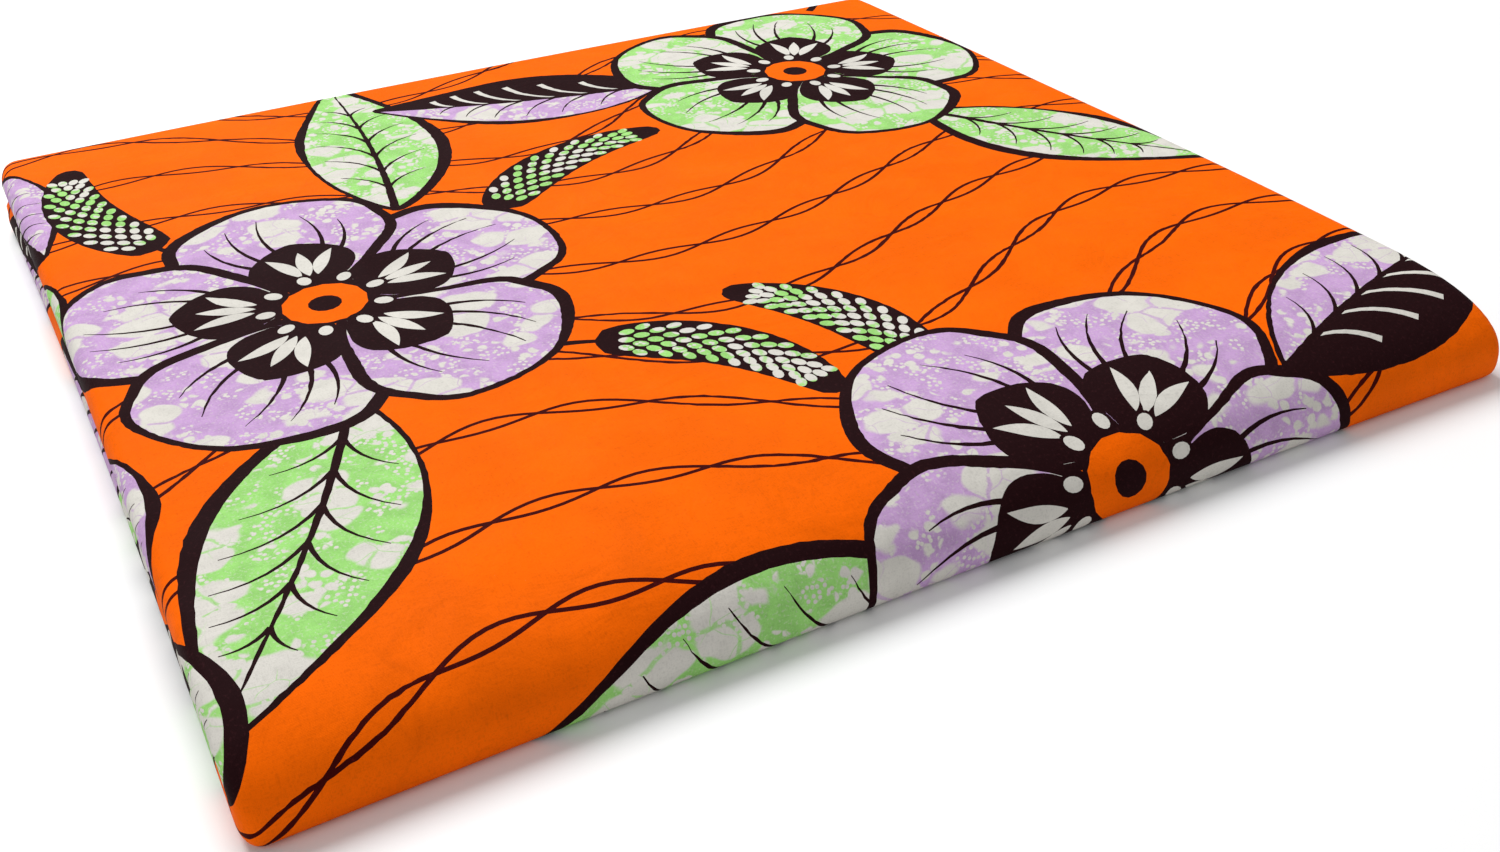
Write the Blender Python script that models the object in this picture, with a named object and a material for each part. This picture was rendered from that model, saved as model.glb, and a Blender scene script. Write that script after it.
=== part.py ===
"""A length of wax print cloth, folded into a flat pack that lies on its underside.

The cloth is folded in half along its length three times, then in thirds across its width, then in half once
more. That last fold is the round one at the front. +X runs along the front fold, -Y faces the front, +Z is up,
and the origin is under the middle of the pack. All sizes are in metres.

Two solids: the outer turn of cloth, whose left, right and front edges are rolled, and the layers inside it.
"""

import math

import bmesh
import bpy

# The cut of cloth, and the pack that it is folded into
CLOTH_WIDTH = 1.118
CLOTH_LENGTH = 5.486
HALVINGS = 4
TURN_ALLOWANCE = 0.012
PACK_LENGTH = CLOTH_WIDTH / 3
PACK_DEPTH = CLOTH_LENGTH / 2**HALVINGS + TURN_ALLOWANCE
PACK_THICKNESS = 0.024
WALL = 0.0012
GAP = 0.0003

# The round fold at the front: how far back its slope starts, and how high its foremost line lies
FRONT_SLOPE = 0.050
FRONT_ROUNDNESS = 2.6
NOSE_HEIGHT = 0.0042
FOOT_DEPTH = 0.0035
FOLD_CENTRE = 0.014

# The rolled edges at the left and right: their width, and how high each is as a share of half the pack
ROLL_WIDTH = 0.005
CREASE_WIDTH = 0.0035
ROLL_ROUNDNESS = 2.3
LEFT_ROLL = 1.0
RIGHT_ROLL = 2 / 3
LEFT_ROLL_END = 0.96
RIGHT_ROLL_END = 0.93
CREASE_GAP = 0.0010
CORNER_RADIUS = 0.0045

# The top ply curls over at the back: the radius of its curl, and the angles of its stations in degrees
BACK_ROUND = 0.0018
BACK_ANGLES = (20, 55, 90)

# How the pack has settled: the back left foot spreads, each edge bows a little, and the top crowns a little
SPREAD = 0.0030
FRONT_BOW = 0.0018
LEFT_BOW = 0.0009
RIGHT_BOW = 0.0020
BACK_BOW = 0.0018
CROWN = 0.0004
CROWN_RAMP = 0.060

# The edges of the hidden layers, from the outside to the middle of the pack. A ridge is one folded edge:
# its height, how far it is set back, how much it wanders along its run, its waves there, and its facets
UPPER_RIDGES = (
    # height, set back, wander, waves, facets
    (0.0025, 0.0004, 0.0000, 0.0, 3),
    (0.0040, 0.0012, 0.0005, 1.5, 6),
    (0.0040, 0.0005, 0.0006, 2.2, 6),
)
LOWER_RIDGES = (
    (0.0025, 0.0004, 0.0000, 0.0, 3),
    (0.0020, 0.0016, 0.0005, 2.6, 3),
    (0.0020, 0.0006, 0.0006, 1.3, 3),
    (0.0020, 0.0022, 0.0004, 3.1, 3),
    (0.0020, 0.0010, 0.0006, 1.8, 3),
)
RIDGE_ROUNDNESS = 2.5
GROOVE = 0.0014
BAND_SET_BACK = 0.0012
BACK_DROP = 0.0008
BACK_INSET = 0.0025
END_CLEARANCE = 0.0014

# How finely the curves are divided
LENGTH_STEPS = 8
DEPTH_STEPS = 6
SLOPE_STEPS = 9
FOOT_STEPS = 4
ROLL_STEPS = 9

CLOTH_COLOUR = (0.90, 0.17, 0.02)
LAYER_COLOUR = (0.62, 0.66, 0.50)
CLOTH_ROUGHNESS = 0.7
SHARP_ANGLE = math.radians(50)

HALF_LENGTH = PACK_LENGTH / 2
HALF_DEPTH = PACK_DEPTH / 2
HALF_THICKNESS = PACK_THICKNESS / 2
SHELL = WALL + GAP


def start_empty():
    for old in list(bpy.data.objects):
        bpy.data.objects.remove(old, do_unlink=True)


def round_share(distance, roundness):
    """1 in the middle of a round edge and 0 at its ends; distance runs from -1 to 1."""
    return max(0.0, 1 - abs(distance) ** roundness) ** (1 / roundness)


def slope_point(angle):
    """The outer face of the front slope, from its top at 90 degrees to the nose at 0."""
    share = 2 / FRONT_ROUNDNESS
    back = FRONT_SLOPE * (1 - math.cos(angle) ** share)
    rise = (PACK_THICKNESS - NOSE_HEIGHT) * math.sin(angle) ** share
    return -HALF_DEPTH + back, NOSE_HEIGHT + rise


def foot_point(angle):
    """Under the nose, from the nose at 0 to the flat underside at 90 degrees."""
    back = FOOT_DEPTH * (1 - math.cos(angle))
    return -HALF_DEPTH + back, NOSE_HEIGHT * (1 - math.sin(angle))


def inner_end(y):
    """How far back the crease lies behind a point of the front slope."""
    share = (y + HALF_DEPTH) / FRONT_SLOPE
    return -HALF_DEPTH + FOLD_CENTRE + share * (FRONT_SLOPE - FOLD_CENTRE)


def turn_stations():
    """Stations round the pack, from the back of the top to the back of the underside.

    Each is (y, z) on the outer face of the cloth, the y of the crease inside it, and a side: 1 above, -1 below.
    """
    slope_top = -HALF_DEPTH + FRONT_SLOPE
    top_end = HALF_DEPTH - BACK_ROUND
    stations = []
    for degrees in BACK_ANGLES:
        angle = math.radians(degrees)
        y = top_end + BACK_ROUND * math.cos(angle)
        z = PACK_THICKNESS - BACK_ROUND * (1 - math.sin(angle))
        stations.append((y, z, y, 1))
    corner_start = HALF_DEPTH - CORNER_RADIUS - BACK_ROUND
    for step in range(DEPTH_STEPS):
        y = corner_start + (slope_top - corner_start) * step / DEPTH_STEPS
        stations.append((y, PACK_THICKNESS, y, 1))
    for step in range(SLOPE_STEPS):
        y, z = slope_point(math.pi / 2 * (1 - step / SLOPE_STEPS))
        stations.append((y, z, inner_end(y), 1))
    upper = list(stations)
    stations.append((-HALF_DEPTH, NOSE_HEIGHT, inner_end(-HALF_DEPTH), 0))
    for step in range(1, FOOT_STEPS):
        y, z = foot_point(math.pi / 2 * step / FOOT_STEPS)
        stations.append((y, z, inner_end(-HALF_DEPTH), -1))
    for _, _, crease_y, _ in reversed(upper):
        share = (crease_y - inner_end(-HALF_DEPTH)) / (slope_top - inner_end(-HALF_DEPTH))
        slope_y = -HALF_DEPTH + FOOT_DEPTH + share * (FRONT_SLOPE - FOOT_DEPTH)
        stations.append((min(slope_y, crease_y), 0.0, crease_y, -1))
    return stations


def middle_height(y):
    """Half the height of the pack at y, where its upper and lower halves meet."""
    share = (y + HALF_DEPTH - FRONT_SLOPE) / -FRONT_SLOPE
    if share <= 0:
        return HALF_THICKNESS
    rise = (PACK_THICKNESS - NOSE_HEIGHT) * round_share(min(share, 1), FRONT_ROUNDNESS)
    return (NOSE_HEIGHT + rise) / 2


def offset_path(path, distance):
    """The path moved inwards by distance, at right angles to it."""
    moved = []
    for index, (y, z) in enumerate(path):
        before = path[max(index - 1, 0)]
        after = path[min(index + 1, len(path) - 1)]
        run_y, run_z = after[0] - before[0], after[1] - before[1]
        length = math.hypot(run_y, run_z)
        moved.append((y - run_z / length * distance, z + run_y / length * distance))
    return moved


def roll_inset(share, crest_width, crease_width):
    """How far a rolled edge lies inside its outermost line, at a share of its height below the crest."""
    width = crest_width if share < 0.5 else crease_width
    return width * (1 - round_share(2 * share - 1, ROLL_ROUNDNESS))


def roll_shares(last):
    """Shares of a roll's height at even angles round it, up to the last one."""
    shares = []
    for step in range(1, ROLL_STEPS):
        turn = math.cos(math.pi * step / ROLL_STEPS)
        share = (1 - math.copysign(abs(turn) ** (2 / ROLL_ROUNDNESS), turn)) / 2
        if share < last:
            shares.append(share)
    return shares + [last]


def corner_inset(y):
    """The round of the back corners, seen from above."""
    over = (y - (HALF_DEPTH - CORNER_RADIUS)) / CORNER_RADIUS
    if over <= 0:
        return 0.0
    return CORNER_RADIUS * (1 - round_share(min(over, 1), 2))


def settled(point):
    """A point of the neatly folded pack, moved to where it lies once the pack has settled."""
    x, y, z = point
    x *= 1 - corner_inset(y) / HALF_LENGTH
    along, back = x / HALF_LENGTH, y / HALF_DEPTH
    left, right = (1 - along) / 2, (1 + along) / 2
    spread = SPREAD * ((1 + back) / 2) ** 2 * (1 - z / PACK_THICKNESS)
    middle_of_depth, middle_of_length = 1 - back**2, 1 - along**2
    x += (LEFT_BOW * left + RIGHT_BOW * right) * middle_of_depth - spread * left
    y += (FRONT_BOW * (1 - back) / 2 + BACK_BOW * (1 + back) / 2) * middle_of_length
    behind_front = min(1, (y + HALF_DEPTH) / CROWN_RAMP)
    z += CROWN * z / PACK_THICKNESS * (1 - along**2 * back**2) * behind_front
    return x, y, z


def grid_faces(mesh, rows):
    """Quads between rows of points. Points that coincide are welded later."""
    made = [[mesh.verts.new(settled(point)) for point in row] for row in rows]
    for row, following in zip(made, made[1:]):
        for index in range(len(row) - 1):
            mesh.faces.new((row[index], row[index + 1], following[index + 1], following[index]))


def finish_mesh(mesh, name, colour):
    """Welds the mesh, turns its faces outwards and makes it an object with its own material."""
    bmesh.ops.remove_doubles(mesh, verts=mesh.verts, dist=1e-6)
    bmesh.ops.recalc_face_normals(mesh, faces=mesh.faces)
    data = bpy.data.meshes.new(name)
    mesh.to_mesh(data)
    mesh.free()
    data.shade_smooth()
    data.set_sharp_from_angle(angle=SHARP_ANGLE)
    material = bpy.data.materials.new(name)
    material.use_nodes = True
    shader = material.node_tree.nodes["Principled BSDF"]
    shader.inputs["Base Color"].default_value = (*colour, 1)
    shader.inputs["Roughness"].default_value = CLOTH_ROUGHNESS
    shader.inputs["Metallic"].default_value = 0.0
    data.materials.append(material)
    piece = bpy.data.objects.new(name, data)
    bpy.context.scene.collection.objects.link(piece)
    return piece


def outer_turn():
    """The cloth that shows, as a sheet from rolled edge to rolled edge, with its thickness turned inwards."""
    rows = []
    for y, z, crease_y, side in turn_stations():
        crease_z = middle_height(crease_y) + side * CREASE_GAP / 2
        row = []
        for share in reversed(roll_shares(LEFT_ROLL_END)):
            depth = share * LEFT_ROLL
            x = -HALF_LENGTH + roll_inset(share, ROLL_WIDTH, CREASE_WIDTH)
            row.append((x, y + (crease_y - y) * depth, z + (crease_z - z) * depth))
        flat_end = HALF_LENGTH - ROLL_WIDTH
        for step in range(LENGTH_STEPS + 1):
            row.append((-flat_end + 2 * flat_end * step / LENGTH_STEPS, y, z))
        for share in roll_shares(RIGHT_ROLL_END):
            depth = share * RIGHT_ROLL
            x = HALF_LENGTH - roll_inset(share, ROLL_WIDTH, ROLL_WIDTH)
            row.append((x, y + (crease_y - y) * depth, z + (crease_z - z) * depth))
        rows.append(row)
    mesh = bmesh.new()
    grid_faces(mesh, rows)
    piece = finish_mesh(mesh, "outer_turn", CLOTH_COLOUR)
    thickness = piece.modifiers.new("thickness", "SOLIDIFY")
    thickness.thickness = WALL
    thickness.offset = -1
    thickness.use_even_offset = False
    thickness.use_quality_normals = True
    return piece


def ridge_rows(ridges):
    """The rows across a stack of ridges: share of the way in, set back, wander and waves of each row."""
    rows = []
    depth = 0.0
    for height, set_back, wander, waves, facets in ridges:
        for step in range(facets):
            hollow = GROOVE * (1 - round_share(2 * step / facets - 1, RIDGE_ROUNDNESS)) if depth > 0 else 0.0
            rows.append((depth + height * step / facets, set_back + hollow, wander, waves))
        depth += height
    rows.append((depth, GROOVE, 0.0, 0.0))
    return [(row[0] / depth, *row[1:]) for row in rows]


def layer_ends(share, set_back, wander, waves, place):
    """The x of the hidden layers' left and right ends, at a share of the way in from their outside."""
    depth = (SHELL + share * (HALF_THICKNESS - SHELL)) / HALF_THICKNESS
    left = SHELL + END_CLEARANCE + roll_inset(depth, ROLL_WIDTH, CREASE_WIDTH)
    if depth < RIGHT_ROLL:
        right = SHELL + END_CLEARANCE + roll_inset(depth / RIGHT_ROLL, ROLL_WIDTH, ROLL_WIDTH)
    else:
        right = BAND_SET_BACK + set_back / 2 + wander * math.sin(waves * math.tau * place)
    return -HALF_LENGTH + left, HALF_LENGTH - right


def hidden_layers():
    """One solid inside the outer turn, with the folded edges as ridges at its back and its right."""
    stations = turn_stations()
    stations = [stations[0], *stations[3:-3], stations[-1]]
    path = offset_path([(y, z) for y, z, _, _ in stations], SHELL)
    path[0] = (HALF_DEPTH - UPPER_RIDGES[0][1], PACK_THICKNESS - SHELL - BACK_DROP)
    path[1] = (path[1][0], PACK_THICKNESS - SHELL)
    path[-1] = (HALF_DEPTH - LOWER_RIDGES[0][1], SHELL)
    last = len(path) - 1
    nose = next(index for index, station in enumerate(stations) if station[3] == 0)
    upper, lower = ridge_rows(UPPER_RIDGES), ridge_rows(LOWER_RIDGES)
    at_nose = [tuple((a + b) / 2 for a, b in zip(*pair)) for pair in zip(upper, lower)]

    def side_point(index, level, end):
        """A point of the left or right end, where end is 0 or 1, on a row counted from the outside."""
        rows = upper if index < nose else lower if index > nose else at_nose
        share, set_back, wander, waves = rows[level]
        y, z = path[index]
        middle_y = stations[index][2]
        middle_z = middle_height(middle_y)
        x = layer_ends(share, set_back, wander, waves, middle_y / PACK_DEPTH)[end]
        if index in (0, last):
            y = middle_y = HALF_DEPTH - set_back
            x -= math.copysign(BACK_INSET, x)
        return x, y + (middle_y - y) * share, z + (middle_z - z) * share

    def across(index, level):
        """A row of points from the left end to the right one, at the back, top, front or underside."""
        wander, waves = (upper if index < nose else lower)[level][2:]
        left, right = side_point(index, level, 0), side_point(index, level, 1)
        points = []
        for step in range(LENGTH_STEPS + 1):
            place = step / LENGTH_STEPS
            x, y, z = (a + (b - a) * place for a, b in zip(left, right))
            y -= wander * math.sin(waves * math.tau * place) * math.sin(math.pi * place)
            points.append((x, y, z))
        return points

    mesh = bmesh.new()
    levels = range(len(upper))
    grid_faces(mesh, [across(index, 0) for index in range(len(path))])
    grid_faces(mesh, [across(0, level) for level in levels])
    grid_faces(mesh, [across(last, level) for level in levels])
    for end in (0, 1):
        grid_faces(mesh, [[side_point(index, level, end) for index in range(len(path))] for level in levels])
    return finish_mesh(mesh, "hidden_layers", LAYER_COLOUR)


def centre_over_origin(pieces):
    """Moves the meshes so that the middle of the pack's box is over the origin."""
    points = [vertex.co for vertex in pieces[0].data.vertices]
    middle = [(min(p[axis] for p in points) + max(p[axis] for p in points)) / 2 for axis in (0, 1)]
    for piece in pieces:
        for vertex in piece.data.vertices:
            vertex.co.x -= middle[0]
            vertex.co.y -= middle[1]


start_empty()
centre_over_origin([outer_turn(), hidden_layers()])
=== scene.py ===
"""Looks for a length of wax print cotton, folded into a flat pack that lies on a pale floor.

The printed cloth is made flat first: the print's shapes are drawn in the cloth's own two directions, joined
with a grid of fold lines into one triangulation, and only then laid over the folded form. So the print runs
on over every rolled edge, as on the real cloth. u runs across the cut and w along it, and on top of the pack
u is x and w is y. All sizes are in metres.
"""

import math
from functools import partial

import bpy
import numpy as np
from bpy.props import FloatProperty, FloatVectorProperty, IntProperty, PointerProperty
from mathutils import Matrix, Vector
from mathutils.geometry import delaunay_2d_cdt


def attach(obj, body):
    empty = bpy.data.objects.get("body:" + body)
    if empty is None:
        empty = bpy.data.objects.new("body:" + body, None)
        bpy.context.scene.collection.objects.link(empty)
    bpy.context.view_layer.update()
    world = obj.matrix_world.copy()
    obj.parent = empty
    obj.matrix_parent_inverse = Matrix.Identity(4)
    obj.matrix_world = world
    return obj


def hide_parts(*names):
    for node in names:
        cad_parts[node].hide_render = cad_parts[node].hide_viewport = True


bl_info = {
    "name": "Folded wax print cloth",
    "version": (1, 0, 0),
    "blender": (4, 5, 0),
    "location": "View3D > Sidebar > Cloth",
    "description": "Dresses a folded pack of printed cotton and sets up a plain studio",
    "category": "Object",
}

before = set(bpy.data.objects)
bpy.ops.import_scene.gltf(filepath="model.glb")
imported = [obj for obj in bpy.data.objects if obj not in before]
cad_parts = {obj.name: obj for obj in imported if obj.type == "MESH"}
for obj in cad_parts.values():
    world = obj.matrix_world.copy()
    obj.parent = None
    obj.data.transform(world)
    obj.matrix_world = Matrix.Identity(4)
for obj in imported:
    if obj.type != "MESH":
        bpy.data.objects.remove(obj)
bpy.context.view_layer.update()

# The cut of cloth, and the pack that it is folded into. A group is the plies of one third of the cut's width
CLOTH_WIDTH = 1.118
CLOTH_LENGTH = 5.486
HALVINGS = 4
TURN_ALLOWANCE = 0.012
PACK_LENGTH = CLOTH_WIDTH / 3
PACK_DEPTH = CLOTH_LENGTH / 2**HALVINGS + TURN_ALLOWANCE
HALF_LENGTH = PACK_LENGTH / 2
HALF_DEPTH = PACK_DEPTH / 2
PACK_THICKNESS = 0.024
HALF_THICKNESS = PACK_THICKNESS / 2
GROUP = 0.004
GROUP_PLIES = 8
PLY_PITCH = 0.0005
CLEARANCE = 0.00015

# The round fold at the front, and the rolled edges at the left, the right and the back
FRONT_SLOPE = 0.050
FRONT_ROUNDNESS = 2.6
NOSE_HEIGHT = 0.0042
FOOT_DEPTH = 0.0035
FOLD_CENTRE = 0.014
ROLL_WIDTH = 0.005
CREASE_WIDTH = 0.0035
ROLL_ROUNDNESS = 2.3
LEFT_ROLL = 1.0
RIGHT_ROLL = 2 / 3
CREASE_GAP = 0.0010
TOP_ROLL_WIDTH = 0.0022
UNDER_ROLL_WIDTH = 0.0012
SIDE_TAIL = 0.004
BACK_TAIL = 0.008
CUT_TAIL = 0.0105
CORNER_RADIUS = 0.0045

# How finely the cloth is divided: steps round its rolled edges, and cells round the nose and up the slope
LEFT_STEPS, RIGHT_STEPS, TOP_STEPS, BACK_STEPS = 18, 14, 14, 10
NOSE_CELL = 0.0011
SLOPE_CELL = 0.0035

# Rows in the tables of the folded form: over the top, up the slope, round the foot, underneath, round a roll
TOP_ROWS, SLOPE_ROWS, FOOT_ROWS, UNDER_ROWS, ROLL_ROWS = 120, 161, 21, 141, 241

# How the pack has settled, and where its solids were centred
SPREAD = 0.0030
FRONT_BOW = 0.0018
LEFT_BOW = 0.0009
RIGHT_BOW = 0.0020
BACK_BOW = 0.0018
CROWN = 0.0004
CROWN_RAMP = 0.060
CENTRE_SHIFT = np.array([0.00016, -0.00089, 0.0])

# How the edges at the back lie: their set back in the middle group and in the flaps folded in from the left
# and the right, how much they wander, and their waves there. Depths are shares of a group's, from the outside
TOP_SET_BACK = (0.0, 0.0005, 0.0012, 0.0004, 2.2)
UNDER_SET_BACK = (0.0, 0.0010, 0.0006, 0.0004, 1.3)
SINGLE_SET_BACK = (0.0005, 0.0020, 0.0016, 0.0003, 2.6)
CUT_SET_BACK = (0.0009, 0.0024, 0.0020, 0.0003, 3.1)
SET_BACK_RUN = 0.030
OUTER_FOLD = 0.49
SINGLE_FOLD = (0.51, 0.75)
CUT_PLIES = (0.77, 0.885)

# How far the print is moved on the single fold and on the cut ends, where the second has it once more across
SINGLE_OFFSET = (0.0, 0.343)
CUT_OFFSET = (0.11, 0.17)

# The cut ends: rows of points in from the edge, how far they slant in over a group's depth, the waves of
# their edges, and the threads, which start just inside them
CUT_ROWS = (0.0, 0.0007, 0.004, CUT_TAIL)
CUT_SLANT = 0.002
CUT_WAVES = (
    # height, length, phase by depth
    (0.00012, 0.017, 9),
    (0.00018, 0.053, 0),
)
THREAD_START = 0.0003
THREAD_SIZES = {"Length": 0.0024, "Thickness": 0.00016, "Spacing": 0.0060}

# The stacked edges at the right: places in from the pack's end, how far in single plies lie, gaps to the
# rolls at the back, and cells, which are longer under the pack as far as STACK_FRONT short of the nose
STACK_INSETS = (0.0115, 0.0050, 0.0012)
STACK_RECESS = 0.0012
STACK_TOP_GAP = 0.0012
STACK_UNDER_GAP = 0.0016
STACK_LOWER_GAP = 0.0022
STACK_FRONT = 0.020
STACK_CELL = 0.003
STACK_UNDER_CELL = 0.012

# The core: how far it stays in at the back of the underside and of the top, at the left and at the right, how
# deep it lies below the face, and its cells: under the pack and across, round the nose, up the slope, on top
CORE_INSETS = (0.013, 0.012, 0.0080, 0.0120)
CORE_DEPTH = 0.002
CORE_CELLS = (0.03, 0.003, 0.008, 0.03)

SLOPE_TOP = -HALF_DEPTH + FRONT_SLOPE
FLAT_END = HALF_LENGTH - ROLL_WIDTH
TOP_END = HALF_DEPTH - TOP_ROLL_WIDTH

# The inks of the print, in the order of the cloth's material slots
GROUND, STRAND, DARK, GREEN, LILAC, PALE = range(6)
INK_NAMES = ("ground", "strand", "dark", "green", "lilac", "pale")
CLOTH_MAP = "cloth"
EDGE_MARGIN = 0.00005

# The bled edges of the larger shapes: spacing of their points, how far they wander, and the least such shape
BLEED_STEP = 0.0021
BLEED_REACH = 0.00009
BLEED_LEAST = 0.012

# The drawn lines of the print, as widths at foot and tip, the ears of seeds, and how the twisted pairs wander
PETAL_VEIN = (0.0021, 0.0003)
LEAF_VEIN = (0.0015, 0.0003)
PALE_VEIN = (0.0008, 0.0026)
LEAF_RIB = (0.0030, 0.0005)
EAR_HALF = 0.0098
EAR_EDGE = 0.0016
SEED_SIZE = (0.0048, 0.0031)
STALK = (0.018, 0.004)
PAIR_WANDER = (0.005, 0.024)
PAIR_TWIST = 0.0026

# Cells to the metre of the marks that the wax leaves in the dye
BLOBS = 78.0
DROPS = 230.0
BUBBLES = 560.0
CRACKS = 125.0

# The floor, and the two lights
STAGE_FLOOR = "floor"
FLOOR_SIDES = 96
LIGHTS = (
    # name, place, size
    ("key", (-0.1, 1.5, 2.0), 1.6),
    ("fill", (-1.4, -0.6, 1.2), 1.2),
)

# The camera: the photograph's width and the focal length in its pixels, the width of the sensor, heading,
# pitch and roll in degrees, and place
PHOTO_WIDTH = 1500
FOCAL_PIXELS = 1535.8
SENSOR_WIDTH = 36.0
CAMERA_ANGLES = (28.388, 32.480, -1.306)
CAMERA_PLACE = Vector((-0.19753, -0.41699, 0.23860))


def size_setting(name, default, description):
    return FloatProperty(name=name, description=description, default=default, unit="LENGTH")


def power_setting(name, default, description):
    return FloatProperty(name=name, description=description, default=default, unit="POWER")


def colour_setting(name, default, description):
    return FloatVectorProperty(name=name, description=description, default=default, subtype="COLOR")


class PrintSettings(bpy.types.PropertyGroup):
    """Sizes and colours of the print."""

    repeat_across: size_setting("Repeat across", CLOTH_WIDTH / 2, "Width of the print's repeat")
    repeat_along: size_setting("Repeat along", 0.620, "Length of the print's repeat")
    outline: size_setting("Outline", 0.0033, "Width of the dark line round a motif")
    strand_width: size_setting("Strand", 0.00125, "Width of one line of the twisted pairs")
    ground: colour_setting("Ground", (0.97, 0.138, 0.0005), "Colour of the ground")
    strand: colour_setting("Strands", (0.048, 0.003, 0.003), "Colour of the twisted pairs")
    dark: colour_setting("Dark", (0.016, 0.004, 0.005), "Colour of the outlines")
    green: colour_setting("Green", (0.32, 0.66, 0.18), "Colour of the leaves")
    lilac: colour_setting("Lilac", (0.54, 0.34, 0.60), "Colour of the petals")
    pale: colour_setting("Bare cloth", (0.68, 0.655, 0.60), "Colour where wax kept the dye out")
    seed: IntProperty(name="Seed", description="Seed of the bled edges of the print", default=7)


class ClothSettings(bpy.types.PropertyGroup):
    """Sizes of the cloth and of its folds."""

    ply: size_setting("Ply", 0.00036, "Thickness of one ply")
    cell: size_setting("Cell", 0.0075, "Spacing of the fold lines where the cloth is flat")
    thread: size_setting("Thread", 0.00034, "Pitch of the weave")
    crease_depth: size_setting("Crease depth", 0.00030, "Depth of the soft press creases")
    seed: IntProperty(name="Seed", description="Seed of the uneven edges", default=4)


class StageSettings(bpy.types.PropertyGroup):
    """The floor and the lights."""

    floor_colour: colour_setting("Floor", (0.90, 0.90, 0.90), "Colour of the floor")
    floor_radius: size_setting("Floor radius", 6.0, "Radius of the floor")
    key_power: power_setting("Key", 68.0, "Power of the light overhead")
    fill_power: power_setting("Fill", 3.0, "Power of the light at the left")
    world_strength: FloatProperty(name="World", description="Strength of the light all round", default=0.42)


# The folded form


def round_share(distance, roundness):
    """1 in the middle of a round edge and 0 at its ends; distance runs from -1 to 1."""
    return np.maximum(0.0, 1 - np.abs(distance) ** roundness) ** (1 / roundness)


def middle_height(y):
    """Half the height of the pack at y, where its upper and lower halves meet."""
    share = np.clip((y - SLOPE_TOP) / -FRONT_SLOPE, 0, 1)
    rise = (PACK_THICKNESS - NOSE_HEIGHT) * round_share(share, FRONT_ROUNDNESS)
    return (NOSE_HEIGHT + rise) / 2


def turn_table():
    """The outer face from the back of the top, round the front, to the back of the underside.

    Rows: w along the cloth, y and z on its outer face, and y and z of the crease inside it.
    """
    nose_crease = -HALF_DEPTH + FOLD_CENTRE
    top = np.linspace(HALF_DEPTH, SLOPE_TOP, TOP_ROWS, endpoint=False)
    angle = np.linspace(math.pi / 2, 0, SLOPE_ROWS)
    power = 2 / FRONT_ROUNDNESS
    slope = -HALF_DEPTH + FRONT_SLOPE * (1 - np.cos(angle) ** power)
    slope_z = NOSE_HEIGHT + (PACK_THICKNESS - NOSE_HEIGHT) * np.sin(angle) ** power
    slope_crease = nose_crease + (slope + HALF_DEPTH) / FRONT_SLOPE * (SLOPE_TOP - nose_crease)
    foot_angle = np.linspace(0, math.pi / 2, FOOT_ROWS)[1:]
    foot = -HALF_DEPTH + FOOT_DEPTH * (1 - np.cos(foot_angle))
    foot_z = NOSE_HEIGHT * (1 - np.sin(foot_angle))
    under = np.linspace(-HALF_DEPTH + FOOT_DEPTH, HALF_DEPTH, UNDER_ROWS)[1:]
    back = (under + HALF_DEPTH - FOOT_DEPTH) / (FRONT_SLOPE - FOOT_DEPTH)
    under_crease = np.where(back < 1, nose_crease + back * (SLOPE_TOP - nose_crease), under)

    y = np.concatenate([top, slope, foot, under])
    z = np.concatenate([np.full(top.size, PACK_THICKNESS), slope_z, foot_z, np.zeros(under.size)])
    crease_y = np.concatenate([top, slope_crease, np.full(foot.size, nose_crease), under_crease])
    side = np.concatenate([np.ones(top.size + slope.size), -np.ones(foot.size + under.size)])
    crease_z = middle_height(crease_y) + side * CREASE_GAP / 2
    run = np.concatenate([[0], np.cumsum(np.hypot(np.diff(y), np.diff(z)))])
    return np.stack([HALF_DEPTH - run, y, z, crease_y, crease_z])[:, ::-1]


def roll_table(height, crest_width, crease_width):
    """Round a rolled edge. Rows: run along the cloth, share of the height, inset from the outermost line."""
    angle = np.linspace(0, math.pi, ROLL_ROWS)
    turn = np.cos(angle)
    share = (1 - np.sign(turn) * np.abs(turn) ** (2 / ROLL_ROUNDNESS)) / 2
    width = np.where(share < 0.5, crest_width, crease_width)
    inset = width * (1 - round_share(2 * share - 1, ROLL_ROUNDNESS))
    run = np.concatenate([[0], np.cumsum(np.hypot(np.diff(share * height), np.diff(inset)))])
    return np.stack([run, share, inset])


def roll_steps(table, count):
    """Runs round a rolled edge, at even turns of it."""
    return table[0][np.linspace(0, table.shape[1] - 1, count + 1).astype(int)]


TURN = turn_table()
W_UNDER_END = TURN[0, 0] + UNDER_ROLL_WIDTH
W_NOSE = TURN[0, np.argmin(TURN[1])]
NOSE_START = W_NOSE - 0.010
NOSE_END = W_NOSE + 0.012
LEFT_TABLE = roll_table(HALF_THICKNESS, ROLL_WIDTH, CREASE_WIDTH)
RIGHT_TABLE = roll_table(HALF_THICKNESS * RIGHT_ROLL, ROLL_WIDTH, ROLL_WIDTH)
TOP_TABLE = roll_table(GROUP, TOP_ROLL_WIDTH, TOP_ROLL_WIDTH)
UNDER_TABLE = roll_table(GROUP / 2, UNDER_ROLL_WIDTH, UNDER_ROLL_WIDTH)
SINGLE_TABLE = roll_table(GROUP / 4, UNDER_ROLL_WIDTH / 2, UNDER_ROLL_WIDTH / 2)
CUT_TABLE = np.zeros((3, 2))
SIDE_ROLLS = (
    # sign of x, table, share of the half pack's height, height that its innermost ply turns round
    (-1, LEFT_TABLE, LEFT_ROLL, GROUP + 2 * CLEARANCE),
    (1, RIGHT_TABLE, RIGHT_ROLL, 2 * CLEARANCE),
)

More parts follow.
